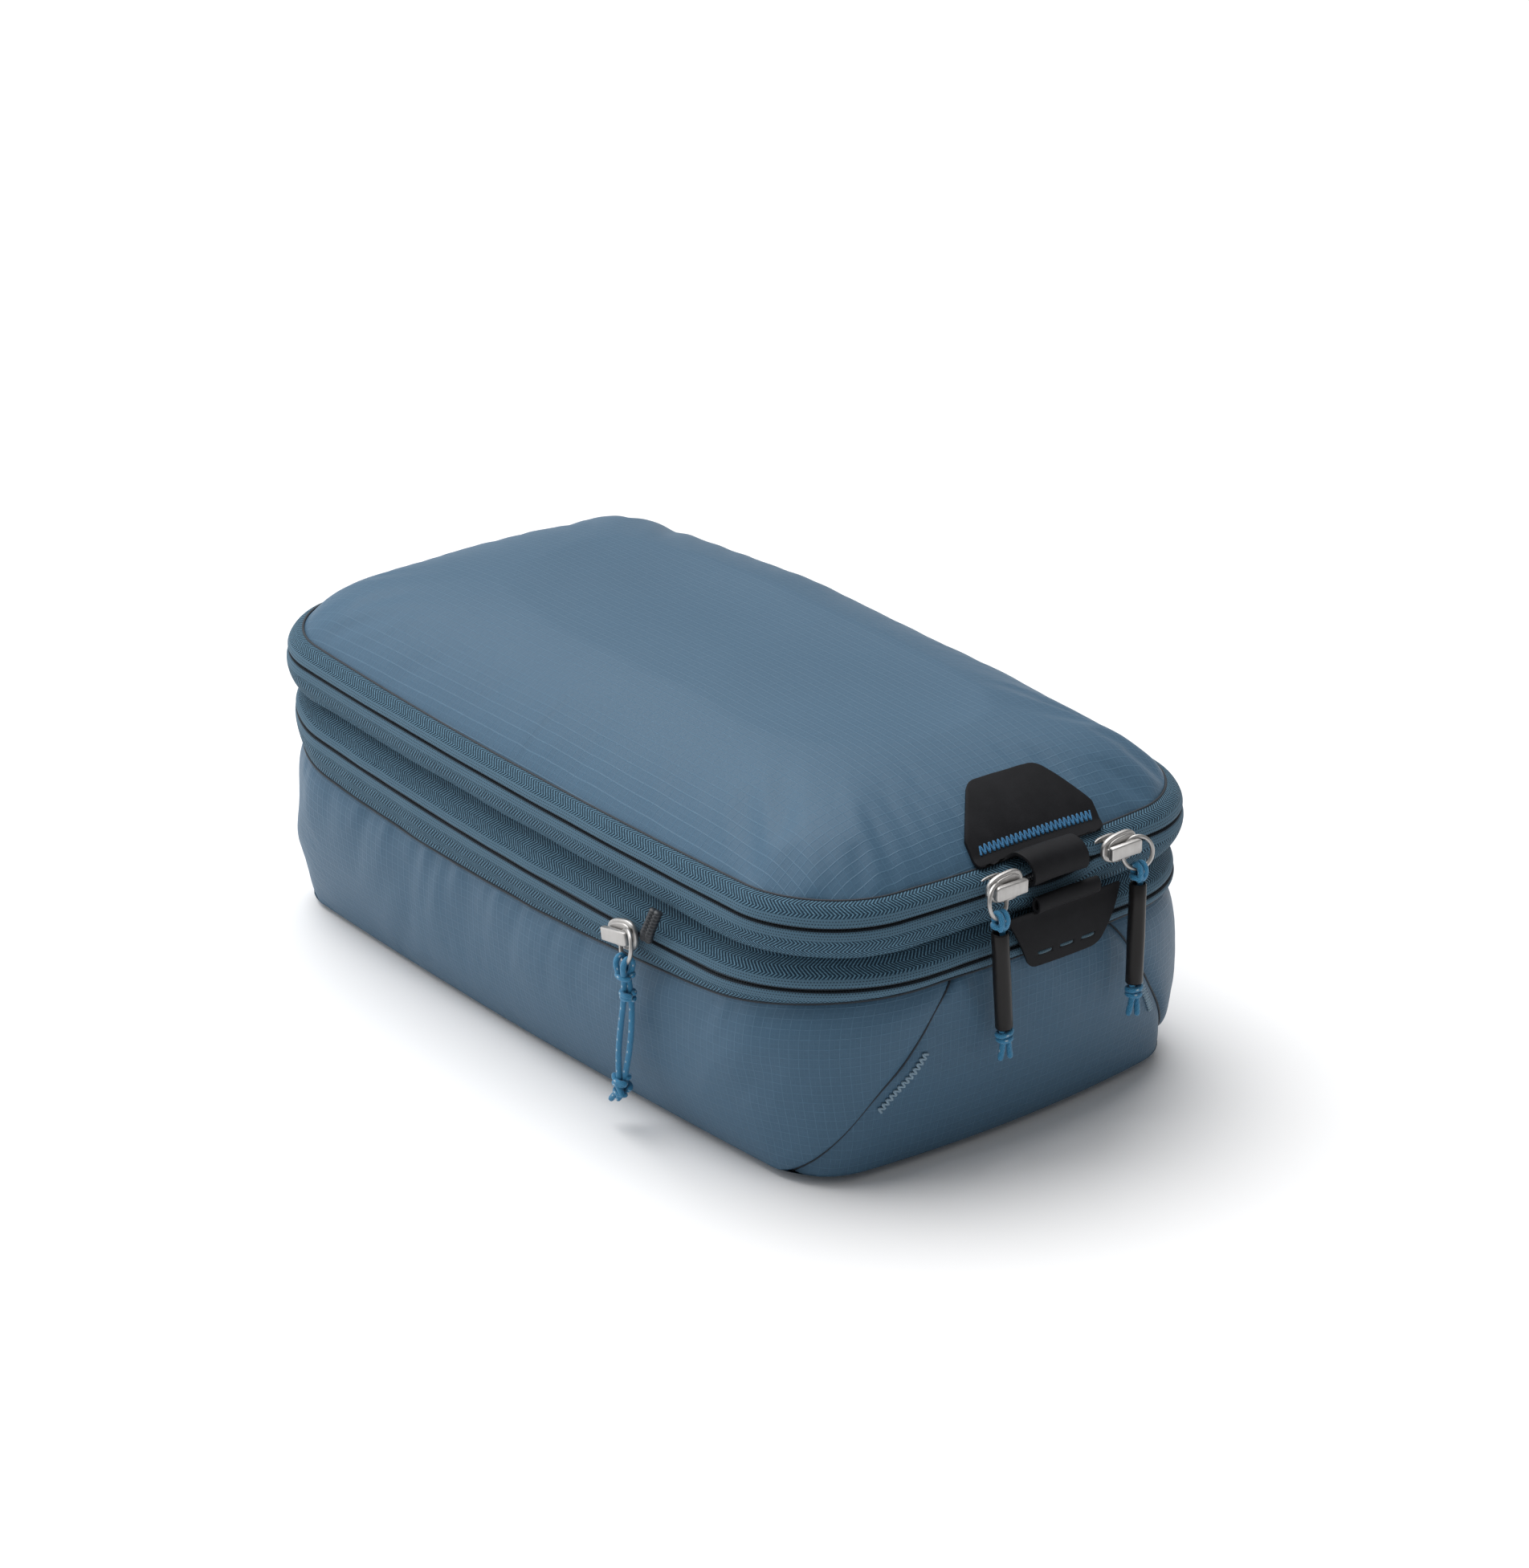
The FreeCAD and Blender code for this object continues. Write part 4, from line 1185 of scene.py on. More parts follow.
def wrinkled(side, grid):
    """Adds the wrinkles that stuffed, sewn cloth has."""
    rows, columns = grid.shape[:2]
    down = (1 - np.linspace(0, 1, rows))[:, None] * np.ones(columns)[None]  # 0 at the seam, 1 at the floor
    out = unit(np.cross(np.gradient(grid, axis=1), np.gradient(grid, axis=0)))
    across = grid[..., 1] if side in ("left", "right") else grid[..., 0]
    height = grid[..., 2]
    held = np.sin(math.pi * np.clip(down, 0, 1)) ** 0.6
    broad = noise_field(across + height * 0.6, height * 1.6, 46.0, 1.3 + len(side)) * 1.4
    small = noise_field(across + height * 0.8, height * 0.5, 13.0, 6.2 + len(side)) * 0.6
    puckers = gather(across + height * 0.25, down * 50.0, 5.2, 2.9 + len(side), 13.0)
    middle = np.exp(-(((across - 25.0) / 60.0) ** 2)) if side in ("left", "right") else 0.35
    shift = (broad + small) * held + puckers * (0.25 + 1.1 * middle) * 0.8
    return grid + out * shift[..., None]


def sewn_together(panels):
    """One mesh of the four panels that share their dart edges, for the simulation."""
    return np.concatenate([panels[side][0][:, :-1] for side in PANEL_ORDER], axis=1)


def make_base():
    panels = base_panels()
    for side in panels:
        grid, weave = panels[side]
        panels[side] = (wrinkled(side, grid), weave)
    for side, following in zip(PANEL_ORDER, PANEL_ORDER[1:] + PANEL_ORDER[:1]):
        shared = (panels[side][0][:, -1] + panels[following][0][:, 0]) / 2
        panels[side][0][:, -1] = shared
        panels[following][0][:, 0] = shared
    ring = sewn_together(panels)
    out = unit(np.cross(np.roll(ring, -1, 1) - np.roll(ring, 1, 1), np.gradient(ring, axis=0)))
    starts = np.cumsum([0] + [panels[side][0].shape[1] - 1 for side in PANEL_ORDER])[:-1]
    columns = ring.shape[1]
    for start in starts:
        for step, share in DART_CREASE:
            column = (start + step) % columns
            ring[:, column] -= out[:, start] * DART_PULL * share
    flat = np.zeros((ring.shape[0], columns + 1, 2))
    cloth = sheet_of("base_cloth", ring, flat, closed=True)
    pins = np.zeros(ring.shape[:2])
    pins[[0, -1]] = 1
    for start in starts:
        pins[:, start] = 1
    middle = ring.mean(axis=1, keepdims=True)
    rest = middle + (ring - middle) * np.array((1.006, 1.006, 1.012))
    relaxed(cloth, pins.ravel(), rest.reshape(-1, 3), frames=16, pressure=0.4, bending=1.0)
    settled = points_of(cloth.data).reshape(ring.shape) / MM
    bpy.data.objects.remove(cloth)
    around = np.concatenate((settled, settled[:, :1]), 1)
    # A near-black thread tube along each dart: painted shade for the dart's crease.
    darts = []
    for start in starts:
        line = settled[:, start] + out[:, start] * 0.12
        darts.append(tube("dart", evenly(line, 0.6), 0.36, around=8))
    dress(join("dart_seam_lines", darts), "blue_thread", "base", look="seam_thread_painted_shade")
    names = {"left": "left_side", "front": "front_end", "right": "right_side", "back": "back_end"}
    made = {}
    for side, start in zip(PANEL_ORDER, starts):
        count = panels[side][0].shape[1]
        piece = sheet_of(names[side] + "_cloth", around[:, start : start + count], panels[side][1])
        subdivide(piece)
        dress(piece, "shell_fabric", "base", names[side] + "_panel")
        made[side] = piece
    return made


base_cloth = make_base()


def make_bottom():
    """The floor of the cube: it curls up to the base edge and lies flat inside it."""
    grid = filled(*four_edges(LOOP["edge"] + OUT * 0.1, 48, 84))
    x, y = grid[..., 0], grid[..., 1]
    away = distance_inside(grid)
    height = grid[..., 2] * np.clip(1 - away / 9.0, 0, 1) ** 2 + 0.25 + 0.15 * noise_field(x, y, 30.0, 5.0)
    grid[..., 2] = height.clip(0.05, None)
    piece = sheet_of("bottom_cloth", grid[:, ::-1], np.stack((x, y), 2)[:, ::-1])
    dress(piece, "shell_fabric", "base", "bottom_panel")


make_bottom()


# Patches and tabs on the front


def surface_of(*pieces):
    """A tree to find places on finished pieces, in metres."""
    points = []
    faces = []
    for piece in pieces:
        first = len(points)
        points += [vertex.co.copy() for vertex in piece.data.vertices]
        faces += [[first + number for number in polygon.vertices] for polygon in piece.data.polygons]
    return BVHTree.FromPolygons(points, faces)


def solid(piece, thickness, offset=1.0, soft=0.0):
    """Gives a sheet a thickness in mm, and softens its edges."""
    modifier = piece.modifiers.new("Solidify", "SOLIDIFY")
    modifier.thickness = thickness * MM
    modifier.offset = offset
    apply_modifiers(piece)
    if soft:
        bevelled(piece, soft, 2)
    return piece


def plan_weave(grid):
    """Weave coordinates of an open grid: distances along its rows and up its columns."""
    across = np.linalg.norm(np.diff(grid, axis=1), axis=2)
    up = np.linalg.norm(np.diff(grid, axis=0), axis=2)
    along = np.concatenate((np.zeros((grid.shape[0], 1)), np.cumsum(across, 1)), 1)
    along = along - along[:, -1:] / 2
    climb = np.concatenate((np.zeros((1, grid.shape[1])), np.cumsum(up, 0)))
    return np.stack((along, climb), 2)


PATCH_CENTRE = 4.6
PATCH_SHEAR = 0.17  # the back edge sits this much to the right for each mm further back
PATCH_FRONT_Y = -134.6
PATCH_REACH = 21.5
PATCH_NARROW = 12.3
PATCH_WIDE = 23.0
PATCH_SHOULDER = 7.0
TAB_HALF = 10.2
TAB_PROFILE = [(-136.6, 86.6), (-139.8, 86.4), (-142.2, 85.3), (-143.4, 83.0)]
TAB_PROFILE += [(-143.2, 80.6), (-142.4, 79.4), (-140.6, 79.6)]
PATCH_CORNER = 2.2
LID_EDGE_Y = -131.5  # the patch hangs down beyond this

lid_surface = surface_of(lid_cloth)


def lid_top(x, y):
    """The height of the lid's cloth."""
    hit = lid_surface.ray_cast(Vector((x * MM, y * MM, 0.2)), Vector((0, 0, -1)))[0]
    return hit.z / MM


def patch_half(reach):
    """Half the patch's width at a distance back from its front edge."""
    if reach < PATCH_SHOULDER:
        half = PATCH_WIDE
    else:
        share = (reach - PATCH_SHOULDER) / (PATCH_REACH - PATCH_SHOULDER)
        half = PATCH_WIDE + (PATCH_NARROW - PATCH_WIDE) * share
    from_end = min(reach, PATCH_REACH - reach)
    if from_end < PATCH_CORNER:
        half -= PATCH_CORNER - math.sqrt(PATCH_CORNER**2 - (PATCH_CORNER - from_end) ** 2)
    return half


def patch_point(across, reach, lift=0.3):
    """A point on the lid under the patch. across is in mm from its centre line."""
    x = PATCH_CENTRE + PATCH_SHEAR * reach + across
    y = PATCH_FRONT_Y + reach
    inner = lid_top(x, max(y, LID_EDGE_Y))
    beyond = max(LID_EDGE_Y - y, 0.0)
    return (x, y, inner - 0.55 * beyond + lift)


def make_top_patch():
    """The rubbery patch, and the strap that runs out of its front edge, over the zipper, and folds in."""
    columns = np.linspace(-1, 1, 29)
    rows = []
    back = PATCH_REACH - np.linspace(0, PATCH_CORNER, 7)
    between = np.linspace(PATCH_REACH - 2.8, 2.4, 22)
    for reach in np.concatenate((back, between, np.linspace(2.0, 0.0, 7))):
        half = patch_half(max(reach, 0.0))
        rows.append([patch_point(share * half, reach) for share in columns])
    edge_z = patch_point(0, 0)[2]
    strap = [(PATCH_FRONT_Y - 0.05, edge_z)] + TAB_PROFILE
    line = evenly(spline_line([(0, y, z) for y, z in strap]), 0.7)
    far = lengths_along(line)
    for (_, y, z), gone in zip(line, far):
        fillet = 2.6 - math.sqrt(max(2.6**2 - (2.6 - min(gone, 2.6)) ** 2, 0))
        half = TAB_HALF + fillet + 0.4 * math.exp(-gone / 3.0) - 0.5 * min(gone / 14.0, 1.0)
        middle = PATCH_CENTRE - 2.4 + 0.1 * gone
        row = []
        for share in columns:
            x = middle + share * half
            droop = (patch_point(share * half, 0.0)[2] - edge_z) * math.exp(-gone / 4.0)
            row.append((x, y, z + droop + 0.25 * math.cos(share * 2.0) * min(gone / 6.0, 1.0)))
        rows.append(row)
    grid = np.array(rows)[::-1]
    piece = solid(sheet_of("handle_patch", grid, plan_weave(grid)), 0.9, soft=0.22)
    dress(piece, "black_patch", "lid", "top_patch", "top_tab")


ZIGZAG_THREAD = 0.36  # radius


def zigzag(name, corners, body, *nodes, look=None):
    """A row of zigzag stitches through these corner points."""
    route = []
    for first, second in zip(corners, corners[1:]):
        first, second = np.array(first), np.array(second)
        route += [first * 0.85 + second * 0.15, first * 0.15 + second * 0.85]
    line = spline_line(route, 0.3)
    return dress(tube(name, line, ZIGZAG_THREAD, around=8), "blue_thread", body, *nodes, look=look)


def make_patch_stitches():
    corners = []
    count = 25
    lift = 1.22  # on top of the patch
    for number in range(count + 1):
        across = -20.0 + 40.0 * number / count
        corners.append(patch_point(across, 2.2, lift))
        corners.append(patch_point(across + 0.75, 5.0, lift))
    zigzag("handle_patch_stitches", corners, "lid", "top_patch_stitching")


LOWER_PATCH_CENTRE = 7.0
LOWER_PATCH_TOP = 70.5
LOWER_PATCH_FOOT = 54.4
LOWER_PATCH_WIDEST = 69.2  # the height at which it stops widening
LOWER_PATCH_CORNER = 2.4
SLOT_HEIGHT = 58.4
SLOT_APART = 7.8


def make_lower_patch():
    """The patch below the strap: it hangs from the crease, wider at its top, with three stitched slots."""
    rows = []
    corner = LOWER_PATCH_CORNER
    rounded = LOWER_PATCH_FOOT + np.linspace(0, corner, 8)
    for z in np.concatenate((rounded, np.linspace(57.0, LOWER_PATCH_TOP, 24))):
        low = z - LOWER_PATCH_FOOT
        share = low / (LOWER_PATCH_WIDEST - LOWER_PATCH_FOOT)
        half = 12.6 + 7.6 * min(share, 1.0)
        if low < corner:
            half -= corner - math.sqrt(corner**2 - (corner - low) ** 2)
        row = []
        for across in np.linspace(-1, 1, 61):
            x = across * half
            y = -141.3 - 0.9 * math.sin(math.pi * min(share, 1.0))
            y = y - 0.5 * (1 - across**2) + 0.9 * max(share - 0.8, 0)
            for number in (-1, 0, 1):
                inside = abs(x - number * SLOT_APART) < 2.7 and abs(z - SLOT_HEIGHT) < 0.8
                y += 0.6 if inside else 0.0
            row.append((LOWER_PATCH_CENTRE + x, y, z))
        rows.append(row)
    grid = np.array(rows)
    piece = solid(sheet_of("lower_handle_patch", grid, plan_weave(grid)), 0.7, soft=0.2)
    dress(piece, "black_patch", "band", "lower_patch")
    dashes = []
    for number in (-1, 0, 1):
        middle = LOWER_PATCH_CENTRE + number * SLOT_APART
        ends = [(middle + x, y, SLOT_HEIGHT) for x, y in ((-2.4, -142.4), (0.0, -143.1), (2.4, -142.4))]
        line = spline_line(ends)
        dashes.append(tube("dash", line, tapered_ends(line, 0.56), around=10))
    row = join("lower_patch_dashes", dashes)
    dress(row, "blue_thread", "band", "lower_patch_stitches", look="dash_thread")


def make_lower_tab():
    """The lower tab: a strip that comes up off the patch and is rolled under itself."""
    centre = np.array((-142.9, 73.0))
    turns = []
    for angle in np.radians(np.linspace(-80, 300, 40)):
        fade = 1 - 0.12 * (angle - math.radians(-80)) / math.radians(380)
        turns.append((centre[0] - 1.8 * fade * math.cos(angle), centre[1] + 2.5 * fade * math.sin(angle)))
    profile = [(-141.6, 68.6), (-142.0, 70.0)] + turns
    rows = []
    for share in np.linspace(0, 1, 25):
        x = -4.8 + 22.2 * share
        sway = 0.22 * math.sin(share * 5.0)
        rows.append([(x, y + sway, z + 0.35 * (share - 0.5)) for y, z in profile])
    grid = np.array(rows).transpose(1, 0, 2)
    piece = solid(sheet_of("lower_tab_cloth", grid, plan_weave(grid)), 0.8, offset=-1.0, soft=0.2)
    dress(piece, "black_patch", "band", "lower_tab_roll")


make_top_patch()
make_patch_stitches()
make_lower_patch()
make_lower_tab()


# Zigzag tacks beside the corner darts

base_surface = surface_of(*base_cloth.values())
TACK_LOW = (49.8, 21.5)  # a tack's ends on the wall, out from the middle and up
TACK_HIGH = (38.2, 37.6)
TACK_HALF = 1.2
TACK_STITCHES = 26
OUTSIDE = 150.0  # clear of the end walls


def make_tacks():
    tacks = []
    for side in (-1, 1):
        for end in (-1, 1):
            low, high = [np.array((side * x, end * OUTSIDE, z)) for x, z in (TACK_LOW, TACK_HIGH)]
            across = unit(np.cross(high - low, (0.0, 1.0, 0.0)))
            corners = []
            for number in range(TACK_STITCHES + 1):
                at = low + (high - low) * number / TACK_STITCHES
                at = at + across * (TACK_HALF if number % 2 else -TACK_HALF)
                hit = base_surface.ray_cast(Vector(at * MM), Vector((0, -end, 0)))[0]
                corners.append((hit.x / MM, hit.y / MM + end * 0.4, hit.z / MM))
            tacks.append(zigzag("tack", corners, "base", look="tack_thread"))
    piece = join("corner_tack_stitches", tacks)
    dress(piece, "blue_thread", "base", "corner_bartacks", look="tack_thread")


make_tacks()


# Sliders


def outline_plate(name, wall, outline, low, high, edge):
    """A plate between two heights off the wall, on a closed outline."""
    count = len(outline)
    points = np.concatenate(
        (
            wall.at(np.column_stack((outline, np.full(count, low)))),
            wall.at(np.column_stack((outline, np.full(count, high)))),
        )
    )
    faces = [list(range(count))[::-1], list(range(count, 2 * count))]
    for number in range(count):
        following = (number + 1) % count
        faces.append([number, following, following + count, number + count])
    piece = new_piece(name, points, faces)
    return bevelled(piece, edge)


SHIELD_HALF_LENGTH = 6.3
SHIELD_HALF_WIDTH = 4.25  # at its middle


def shield_outline():
    """A slider's front plate: an oval, wider towards its nose."""
    angles = np.linspace(0, 2 * math.pi, 48, endpoint=False)
    across, along = np.sin(angles), np.cos(angles)
    x = np.sign(along) * np.abs(along) ** 0.72 * SHIELD_HALF_LENGTH
    half = SHIELD_HALF_WIDTH + 0.6 * x / SHIELD_HALF_LENGTH
    y = np.sign(across) * np.abs(across) ** 0.8 * half
    return np.stack((x, y), 1)


def bar_outline(nose):
    """The bar over the front plate, a little wider at the ring's end."""
    outline = [(-5.5, -1.75), (-5.1, -1.95), (4.9, -2.1), (5.6, -1.6)]
    outline += [(x, -y) for x, y in outline[::-1]]
    return np.array([(x * nose, y * nose) for x, y in outline])


def rectangle(left, right, half):
    return np.array([(left, -half), (right, -half), (right, half), (left, half)])


def make_slider(which, body):
    wall = WALLS[which]
    nose = RING_SIDE[which]
    shield = outline_plate("shield", wall, shield_outline(), 0.9, 2.4, 0.5)
    raised = outline_plate("raised", wall, shield_outline() * 0.80, 2.1, 2.95, 0.35)
    bar = outline_plate("bar", wall, bar_outline(nose), 3.55, 5.35, 0.42)
    feet = [rectangle(middle - 0.75, middle + 0.75, 1.1) for middle in (-4.6, 4.6)]
    legs = [outline_plate("leg", wall, foot, 2.0, 4.0, 0.15) for foot in feet]
    post = outline_plate("post", wall, rectangle(-1.4, 1.4, 0.6), -3.3, 1.1, 0.1)
    rear = outline_plate("rear", wall, shield_outline() * (0.67, 0.36), -4.2, -3.2, 0.2)
    whole = join(which + "_slider_metal", [shield, raised, post, rear, bar, *legs])
    dress(crisp(whole), "slider_metal", body, which + "_slider_body", which + "_slider_cap")


def make_ring(which, body):
    centre, swung, tangent, _ = ring_facts(which)
    angles = np.linspace(0, 2 * math.pi, 64, endpoint=False)
    line = centre + np.cos(angles)[:, None] * swung * RING_RADIUS
    line = line + np.sin(angles)[:, None] * tangent * RING_RADIUS
    ring = tube(which + "_ring_wire", WALLS[which].at(line), 0.60, around=16, closed=True)
    dress(ring, "slider_metal", body, which + "_pull_ring")


for name in ("left", "right", "compression"):
    make_slider(name, name + "_slider")
    make_ring(name, name + "_ring")
make_slider("side", "side_slider")


def make_side_tab():
    """The side slider's metal tab, folded forward along the wall."""
    wall = WALLS["side"]
    outline = [(-22.0, 0.0), (-21.4, -1.7), (-19.8, -2.6), (-6.0, -2.8), (-3.2, -2.8), (-2.6, -1.8)]
    outline += [(x, -y) for x, y in outline[:0:-1]]
    tab = outline_plate("side_tab_metal", wall, np.array(outline), 2.55, 3.4, 0.3)
    eye = outline_plate("eye", wall, rectangle(-7.2, -3.6, 1.7), 3.25, 3.5, 0.08)
    dress(join("side_tab_metal", [tab, eye]), "slider_metal", "side_pull", "side_pull_tab")


make_side_tab()


# Main pulls

TUBE_OUTSIDE = 4.8
TUBE_INSIDE = 3.7
TUBE_LENGTH = 29.0
TUBE_DROP = 3.2
TAIL_LENGTH = 11.0
PULL_LEAN = {"left": (2.4, 0.0, -TUBE_LENGTH), "right": (-1.8, -1.8, -TUBE_LENGTH)}


def shrink_tube(name, top, down):
    """A thick-walled tube with soft ends."""
    outer, inner = TUBE_OUTSIDE / 2, TUBE_INSIDE / 2
    profile = [(inner, 3.0), (inner, 0.4), (inner + 0.2, 0.0), (outer - 0.3, 0.0), (outer, 0.5)]
    profile += [(outer - 0.05, 6.0), (outer + 0.03, 15.0), (outer - 0.04, 23.0)]
    profile += [(outer, TUBE_LENGTH - 0.5), (outer - 0.3, TUBE_LENGTH), (inner + 0.2, TUBE_LENGTH)]
    profile += [(inner, TUBE_LENGTH - 0.4), (inner, TUBE_LENGTH - 3.0)]
    side = unit(np.cross(down, (0.0, 1.0, 0.0)))
    other = np.cross(down, side)
    rows = []
    for radius, along in profile:
        ring = []
        for angle in np.linspace(0, 2 * math.pi, 40, endpoint=False):
            squeeze = 1 - 0.03 * math.cos(2 * angle + along * 0.1)
            away = side * math.cos(angle) + other * math.sin(angle)
            ring.append(top + down * along + away * radius * squeeze)
        rows.append(ring)
    grid = np.array(rows)[::-1]
    uv = np.stack(np.meshgrid(np.linspace(0, 15, 41), np.array([p[1] for p in profile])[::-1]), 2)
    return sheet_of(name, grid, uv, closed=True)


def ring_knot(wall, low, out):
    """The cord's loops over a ring's wire."""
    sideways = wall.x
    parts = []
    for shift in (-0.95, 0.95):
        route = [
            low + sideways * shift * 0.7 + UP * -3.4 + out * 0.7,
            low + sideways * shift + out * 1.75 + UP * -1.8,
            low + sideways * shift + out * 1.8 + UP * 0.6,
            low + sideways * shift + UP * 1.9,
            low + sideways * shift - out * 1.6 + UP * 0.2,
            low + sideways * shift * 0.7 - out * 0.9 + UP * -3.0,
        ]
        parts.append(cord_piece("lobe", spline_line(route)))
    collar = low + UP * -2.0
    parts.append(cord_turn("collar", collar, sideways, out, 2.0, 1.5, UP * 0.7))
    return parts


def make_pull(which):
    wall = WALLS[which]
    body = which + "_pull"
    low = wall.at(ring_facts(which)[3])[0]
    down = unit(np.array(PULL_LEAN[which]))
    out = wall.z
    top = low - UP * TUBE_DROP
    foot = top + down * TUBE_LENGTH
    side = unit(np.cross(down, (0.0, 1.0, 0.0)))
    sleeve = shrink_tube(which + "_tube", top + down, down)
    dress(sleeve, "pull_tube", body, which + "_pull_tube")
    loops = join(which + "_ring_knot", ring_knot(wall, low, out))
    dress(loops, "pull_cord", body)
    bend = 0.35
    route = [
        low + out * 0.9 + UP * -1.2,
        top + side * 0.8,
        top + down * 10 + side * (0.9 + bend),
        foot - down * 3 + side * 0.8,
        foot + down * 3 + side * 1.0,
        foot + down * TAIL_LENGTH + side * 1.9 - out * 0.2,
    ]
    line = spline_line(route, 0.25)
    cord = cord_piece(which + "_cord", line)
    dress(cord, "pull_cord", body, which + "_pull_cord")
    second = [
        foot - down * 3 - side * 0.9,
        foot + down * 2 - side * 1.0 + out * 0.3,
        foot + down * 5 - side * 1.0 + out * 0.6,
        foot + down * (TAIL_LENGTH - 1.2) - side * 2.4 + out * 0.5,
    ]
    tail = cord_piece("tail", spline_line(second))
    upper = cord_turn("turn", foot + down * 2.6, side, out, 2.1, 1.5, down * 0.9)
    lower = cord_turn("turn", foot + down * 4.0, side, out, 1.9, 1.4, down * -0.8)
    knot_piece = join(which + "_tail_knot", [tail, upper, lower])
    dress(knot_piece, "pull_cord", body, which + "_pull_knot")


make_pull("left")
make_pull("right")


# The black ends of the compression coil, turned up beside its slider


def make_coil_ends():
    parts = []
    for shift in (0.0, 2.0):
        y = -72.0 - shift
        route = [
            (-80.4, y + 2.2, 59.2),
            (-81.2, y + 1.2, 60.6),
            (-81.6, y - 0.6, 63.6),
            (-81.2, y - 3.4, 69.6),
        ]
        line = spline_line(route, 0.2)
        ribs = 1.1 + 0.22 * np.sin(lengths_along(line) * 2 * math.pi / 1.25)
        parts.append(tube("coil_end", line, ribs, around=12))
    dress(join("compression_coil_tails", parts), "zipper_coil", "band", "compression_coil_ends")


make_coil_ends()


# Cloth at the hinge and inside the cube


HINGE_ROWS = 26


def make_hinge():
    """The lid's cloth hinge, from the crease to the lid's seam, where no zipper runs."""
    low, high = pinched(LOOP["crease"], 2.0), pinched(LOOP["lid"])
    grid = at_hinge(curved_rows(low, high, (3.4, 3.0), (3.0, -3.0), np.linspace(0, 1, HINGE_ROWS)))
    waves = noise_field(grid[..., 0], grid[..., 2] * 0.4, 9.0, 5.5) * 0.4
    swell = np.sin(np.linspace(0, math.pi, HINGE_ROWS))
    grid = grid + np.array((0.0, 1.0, 0.0)) * waves[..., None] * swell[:, None, None]
    piece = solid(sheet_of("hinge_cloth", grid, plan_weave(grid)), 0.5, offset=-1.0)
    dress(piece, "shell_fabric", None, "lid_hinge_cloth", "lid_back_facing")
    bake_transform(piece)


GUSSET_ROWS = 57
BINDING_SHARE = 0.37  # how much of the gusset's height the lower seam's binding covers


def make_gusset():
    """Folded cloth behind the compression zipper, sewn in under the lower seam.

    On the real cube it opens out as the cube grows; this one keeps one shape and is attached to no body.
    """
    low, high = LOOP["lower"] - UP * 3.0, LOOP["crease"] - UP * 1.0
    rows = []
    for share in np.linspace(0, 1, GUSSET_ROWS):
        above_binding = max(share - BINDING_SHARE, 0.0) / (1 - BINDING_SHARE)
        inward = 0.9 + 1.3 * min(share / 0.04, 1.0) + 3.1 * min(above_binding / 0.3, 1.0)
        waver = 0.3 * wavering(TURN[:-1], 11.0, 2.0 + share * 3) * min(above_binding / 0.2, 1.0)
        fold = 4.4 * math.sin(above_binding * math.pi * 4) ** 2 + waver
        rows.append(low * (1 - share) + high * share - OUT * np.reshape(inward + fold, (-1, 1)))
    rows = np.array(rows)
    piece = solid(sheet_of("gusset_cloth", rows, weave_on(rows, False), closed=True), 0.4, offset=-1.0)
    dress(piece, "shell_fabric", None, "expansion_gusset")
    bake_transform(piece)


def make_binding(name, loop, body, node, in_by, half=3.0):
    """A folded tape that covers a seam's raw edge inside the cube."""
    rows = []
    for z, depth in ((-half, 0.0), (-half * 0.5, 0.5), (0.0, 0.7), (half * 0.5, 0.5), (half, 0.0)):
        rows.append(loop - OUT * (in_by + depth) + UP * z)
    rows = np.array(rows)
    piece = solid(sheet_of(name, rows, weave_on(rows, False), closed=True), 0.6, offset=-1.0)
    dress(piece, "binding", body, node)


def make_divider():
    """The cloth floor that makes the side pocket, slung between the walls."""
    ring = base_rings()[int(BASE_ROWS * 0.55)] - OUT * 3.0
    grid = filled(*four_edges(ring, 44, 76))
    x, y = grid[..., 0], grid[..., 1]
    away = distance_inside(grid)
    grid[..., 2] += -2.5 * (1 - np.exp(-away / 25.0)) + noise_field(x, y, 40.0, 3.0) * 0.7
    piece = sheet_of("divider_cloth", grid, np.stack((x, y), 2))
    dress(piece, "lining_fabric", "base", "divider_panel")


make_hinge()
make_gusset()
make_binding("lower_binding_tape", LOOP["lower"], "base", "lower_seam_binding", 2.6)
make_binding("band_binding_tape", LOOP["crease"], "band", "band_seam_binding", 3.6)
make_binding("lid_binding_tape", LOOP["lid"] - UP * 1.9, "lid", "lid_seam_binding", 2.4, 1.8)
make_divider()


# Side pocket zipper

SIDE_ZIP_HALF = 95.0


def side_point(y, up, lift):
    """A point on the right side panel, up from the pocket's zipper line."""
    at = np.array((120.0, y, SIDE_LINE_HEIGHT + up))
    hit, normal = base_surface.ray_cast(Vector(at * MM), Vector((-1, 0, 0)))[:2]
    return np.array(hit) / MM + np.array(normal) * lift


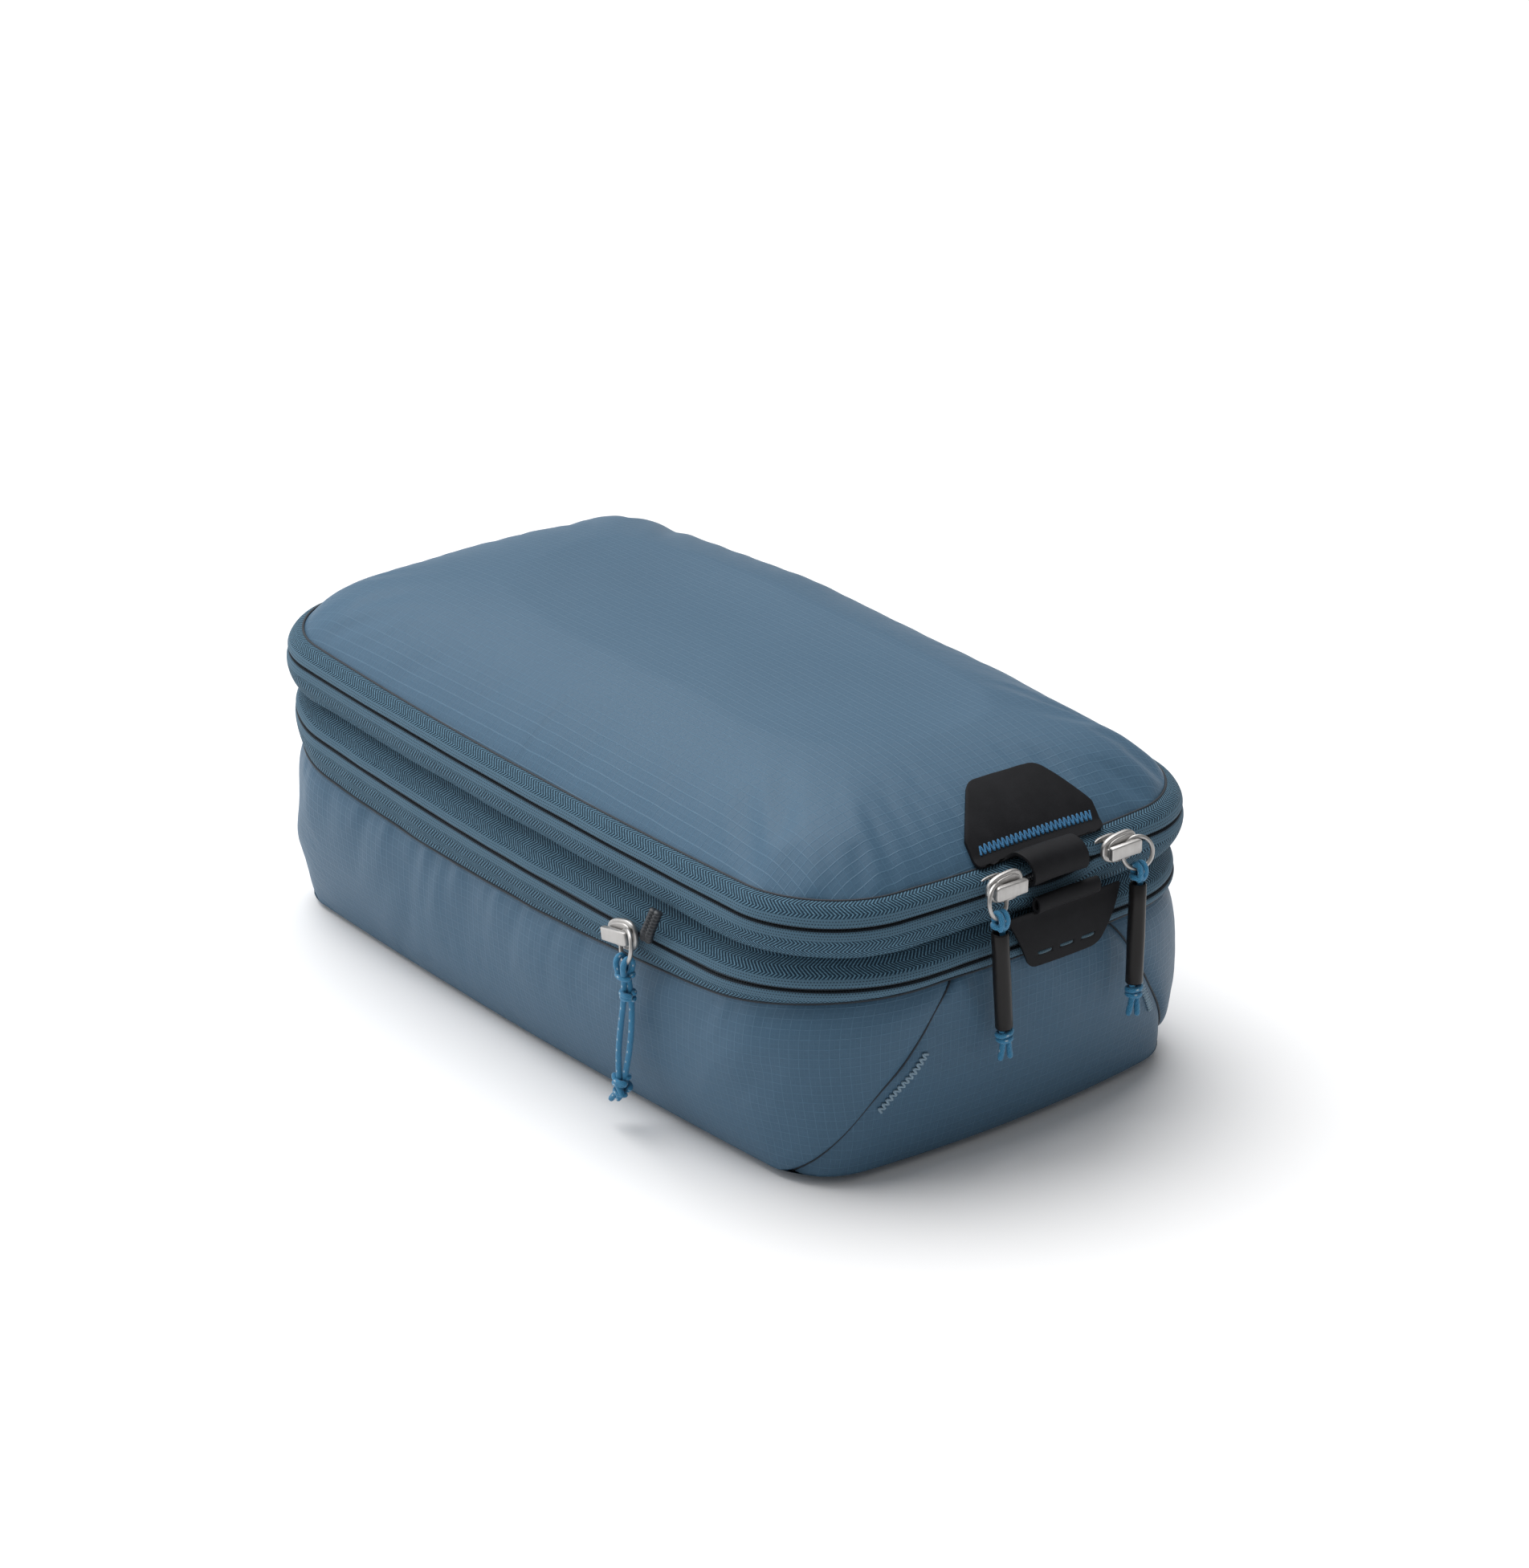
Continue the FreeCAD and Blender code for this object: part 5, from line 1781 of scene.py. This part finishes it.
def make_side_zipper():
    tapes = []
    profile = [(0.25, -0.3), (0.5, 0.45), (1.4, 0.6), (4.5, 0.65), (7.6, 0.6), (8.3, 0.35), (8.6, -0.1)]
    lengthways = np.linspace(-SIDE_ZIP_HALF - 3, SIDE_ZIP_HALF + 3, 160)
    for side in (-1, 1):
        rows = [[side_point(y, side * up, lift) for y in lengthways] for up, lift in profile]
        grid = np.array(rows if side > 0 else rows[::-1])
        weave = plan_weave(grid)
        if side < 0:
            weave[..., 1] = weave[-1:, :, 1] - weave[..., 1]
        tapes.append(sheet_of("tape", grid, weave))
    dress(join("side_tapes", tapes), "zipper_tape", "base", "side_zipper_tapes")
    coils = []
    for side in (-1, 1):
        line = []
        for y in np.arange(-SIDE_ZIP_HALF, SIDE_ZIP_HALF, TOOTH_PITCH / 4):
            phase = 2 * math.pi * y / TOOTH_PITCH
            line.append(side_point(y, side * (0.35 + 0.5 * math.cos(phase)), -0.6 + 0.35 * math.sin(phase)))
        coils.append(tube("coil", np.array(line), 0.2, around=5))
    dress(join("side_teeth", coils), "zipper_coil", "base", "side_zipper_coil")
    stops = []
    for end in (-1, 1):
        corners = [side_point(end * (SIDE_ZIP_HALF - 1.2), up, 0.75) for up in (-2.0, -0.7, 0.7, 2.0)]
        stops.append(tube("stop", spline_line(corners), 0.75, around=12))
    dress(join("side_stops", stops), "zipper_coil", "base", "side_zipper_stops")


make_side_zipper()


# Floor and light


def make_stage():
    mesh = bpy.data.meshes.new("Floor")
    reach = 12.0
    corners = [(-reach, -reach, 0), (reach, -reach, 0), (reach, reach, 0), (-reach, reach, 0)]
    mesh.from_pydata(corners, [], [(0, 1, 2, 3)])
    floor = bpy.data.objects.new("Floor", mesh)
    bpy.context.scene.collection.objects.link(floor)
    paper = Recipe("floor_paper", roughness=0.9)
    paper.specular(0.1)
    paper.shader.inputs["Base Color"].default_value = (0.90, 0.90, 0.905, 1)
    mesh.materials.append(paper.material)


def area_light(name, place, aim, size, power):
    data = bpy.data.lights.new(name, "AREA")
    data.shape = "RECTANGLE"
    data.size, data.size_y = size
    data.energy = power
    light = bpy.data.objects.new(name, data)
    light.location = place
    light.rotation_euler = (Vector(aim) - Vector(place)).to_track_quat("-Z", "Y").to_euler()
    bpy.context.scene.collection.objects.link(light)


def sun(name, direction, strength, spread):
    """Even light from far away. direction points to it, and a wide spread in degrees softens its shadows."""
    data = bpy.data.lights.new(name, "SUN")
    data.energy = strength
    data.angle = math.radians(spread)
    light = bpy.data.objects.new(name, data)
    light.rotation_euler = Vector(direction).to_track_quat("Z", "Y").to_euler()
    bpy.context.scene.collection.objects.link(light)


def make_lights():
    sun("Overhead", (0.03, 0.42, 1.0), 3.3, 60.0)
    area_light("Left", (-0.80, 0.78, 0.48), (-0.05, 0.05, 0.03), (1.1, 0.9), 4.6)
    world = bpy.data.worlds.new("World")
    world.use_nodes = True
    background = world.node_tree.nodes["Background"]
    background.inputs["Color"].default_value = (1, 1, 1, 1)
    background.inputs["Strength"].default_value = 0.29
    bpy.context.scene.world = world
    bpy.context.scene.view_settings.view_transform = "Standard"


make_stage()
make_lights()
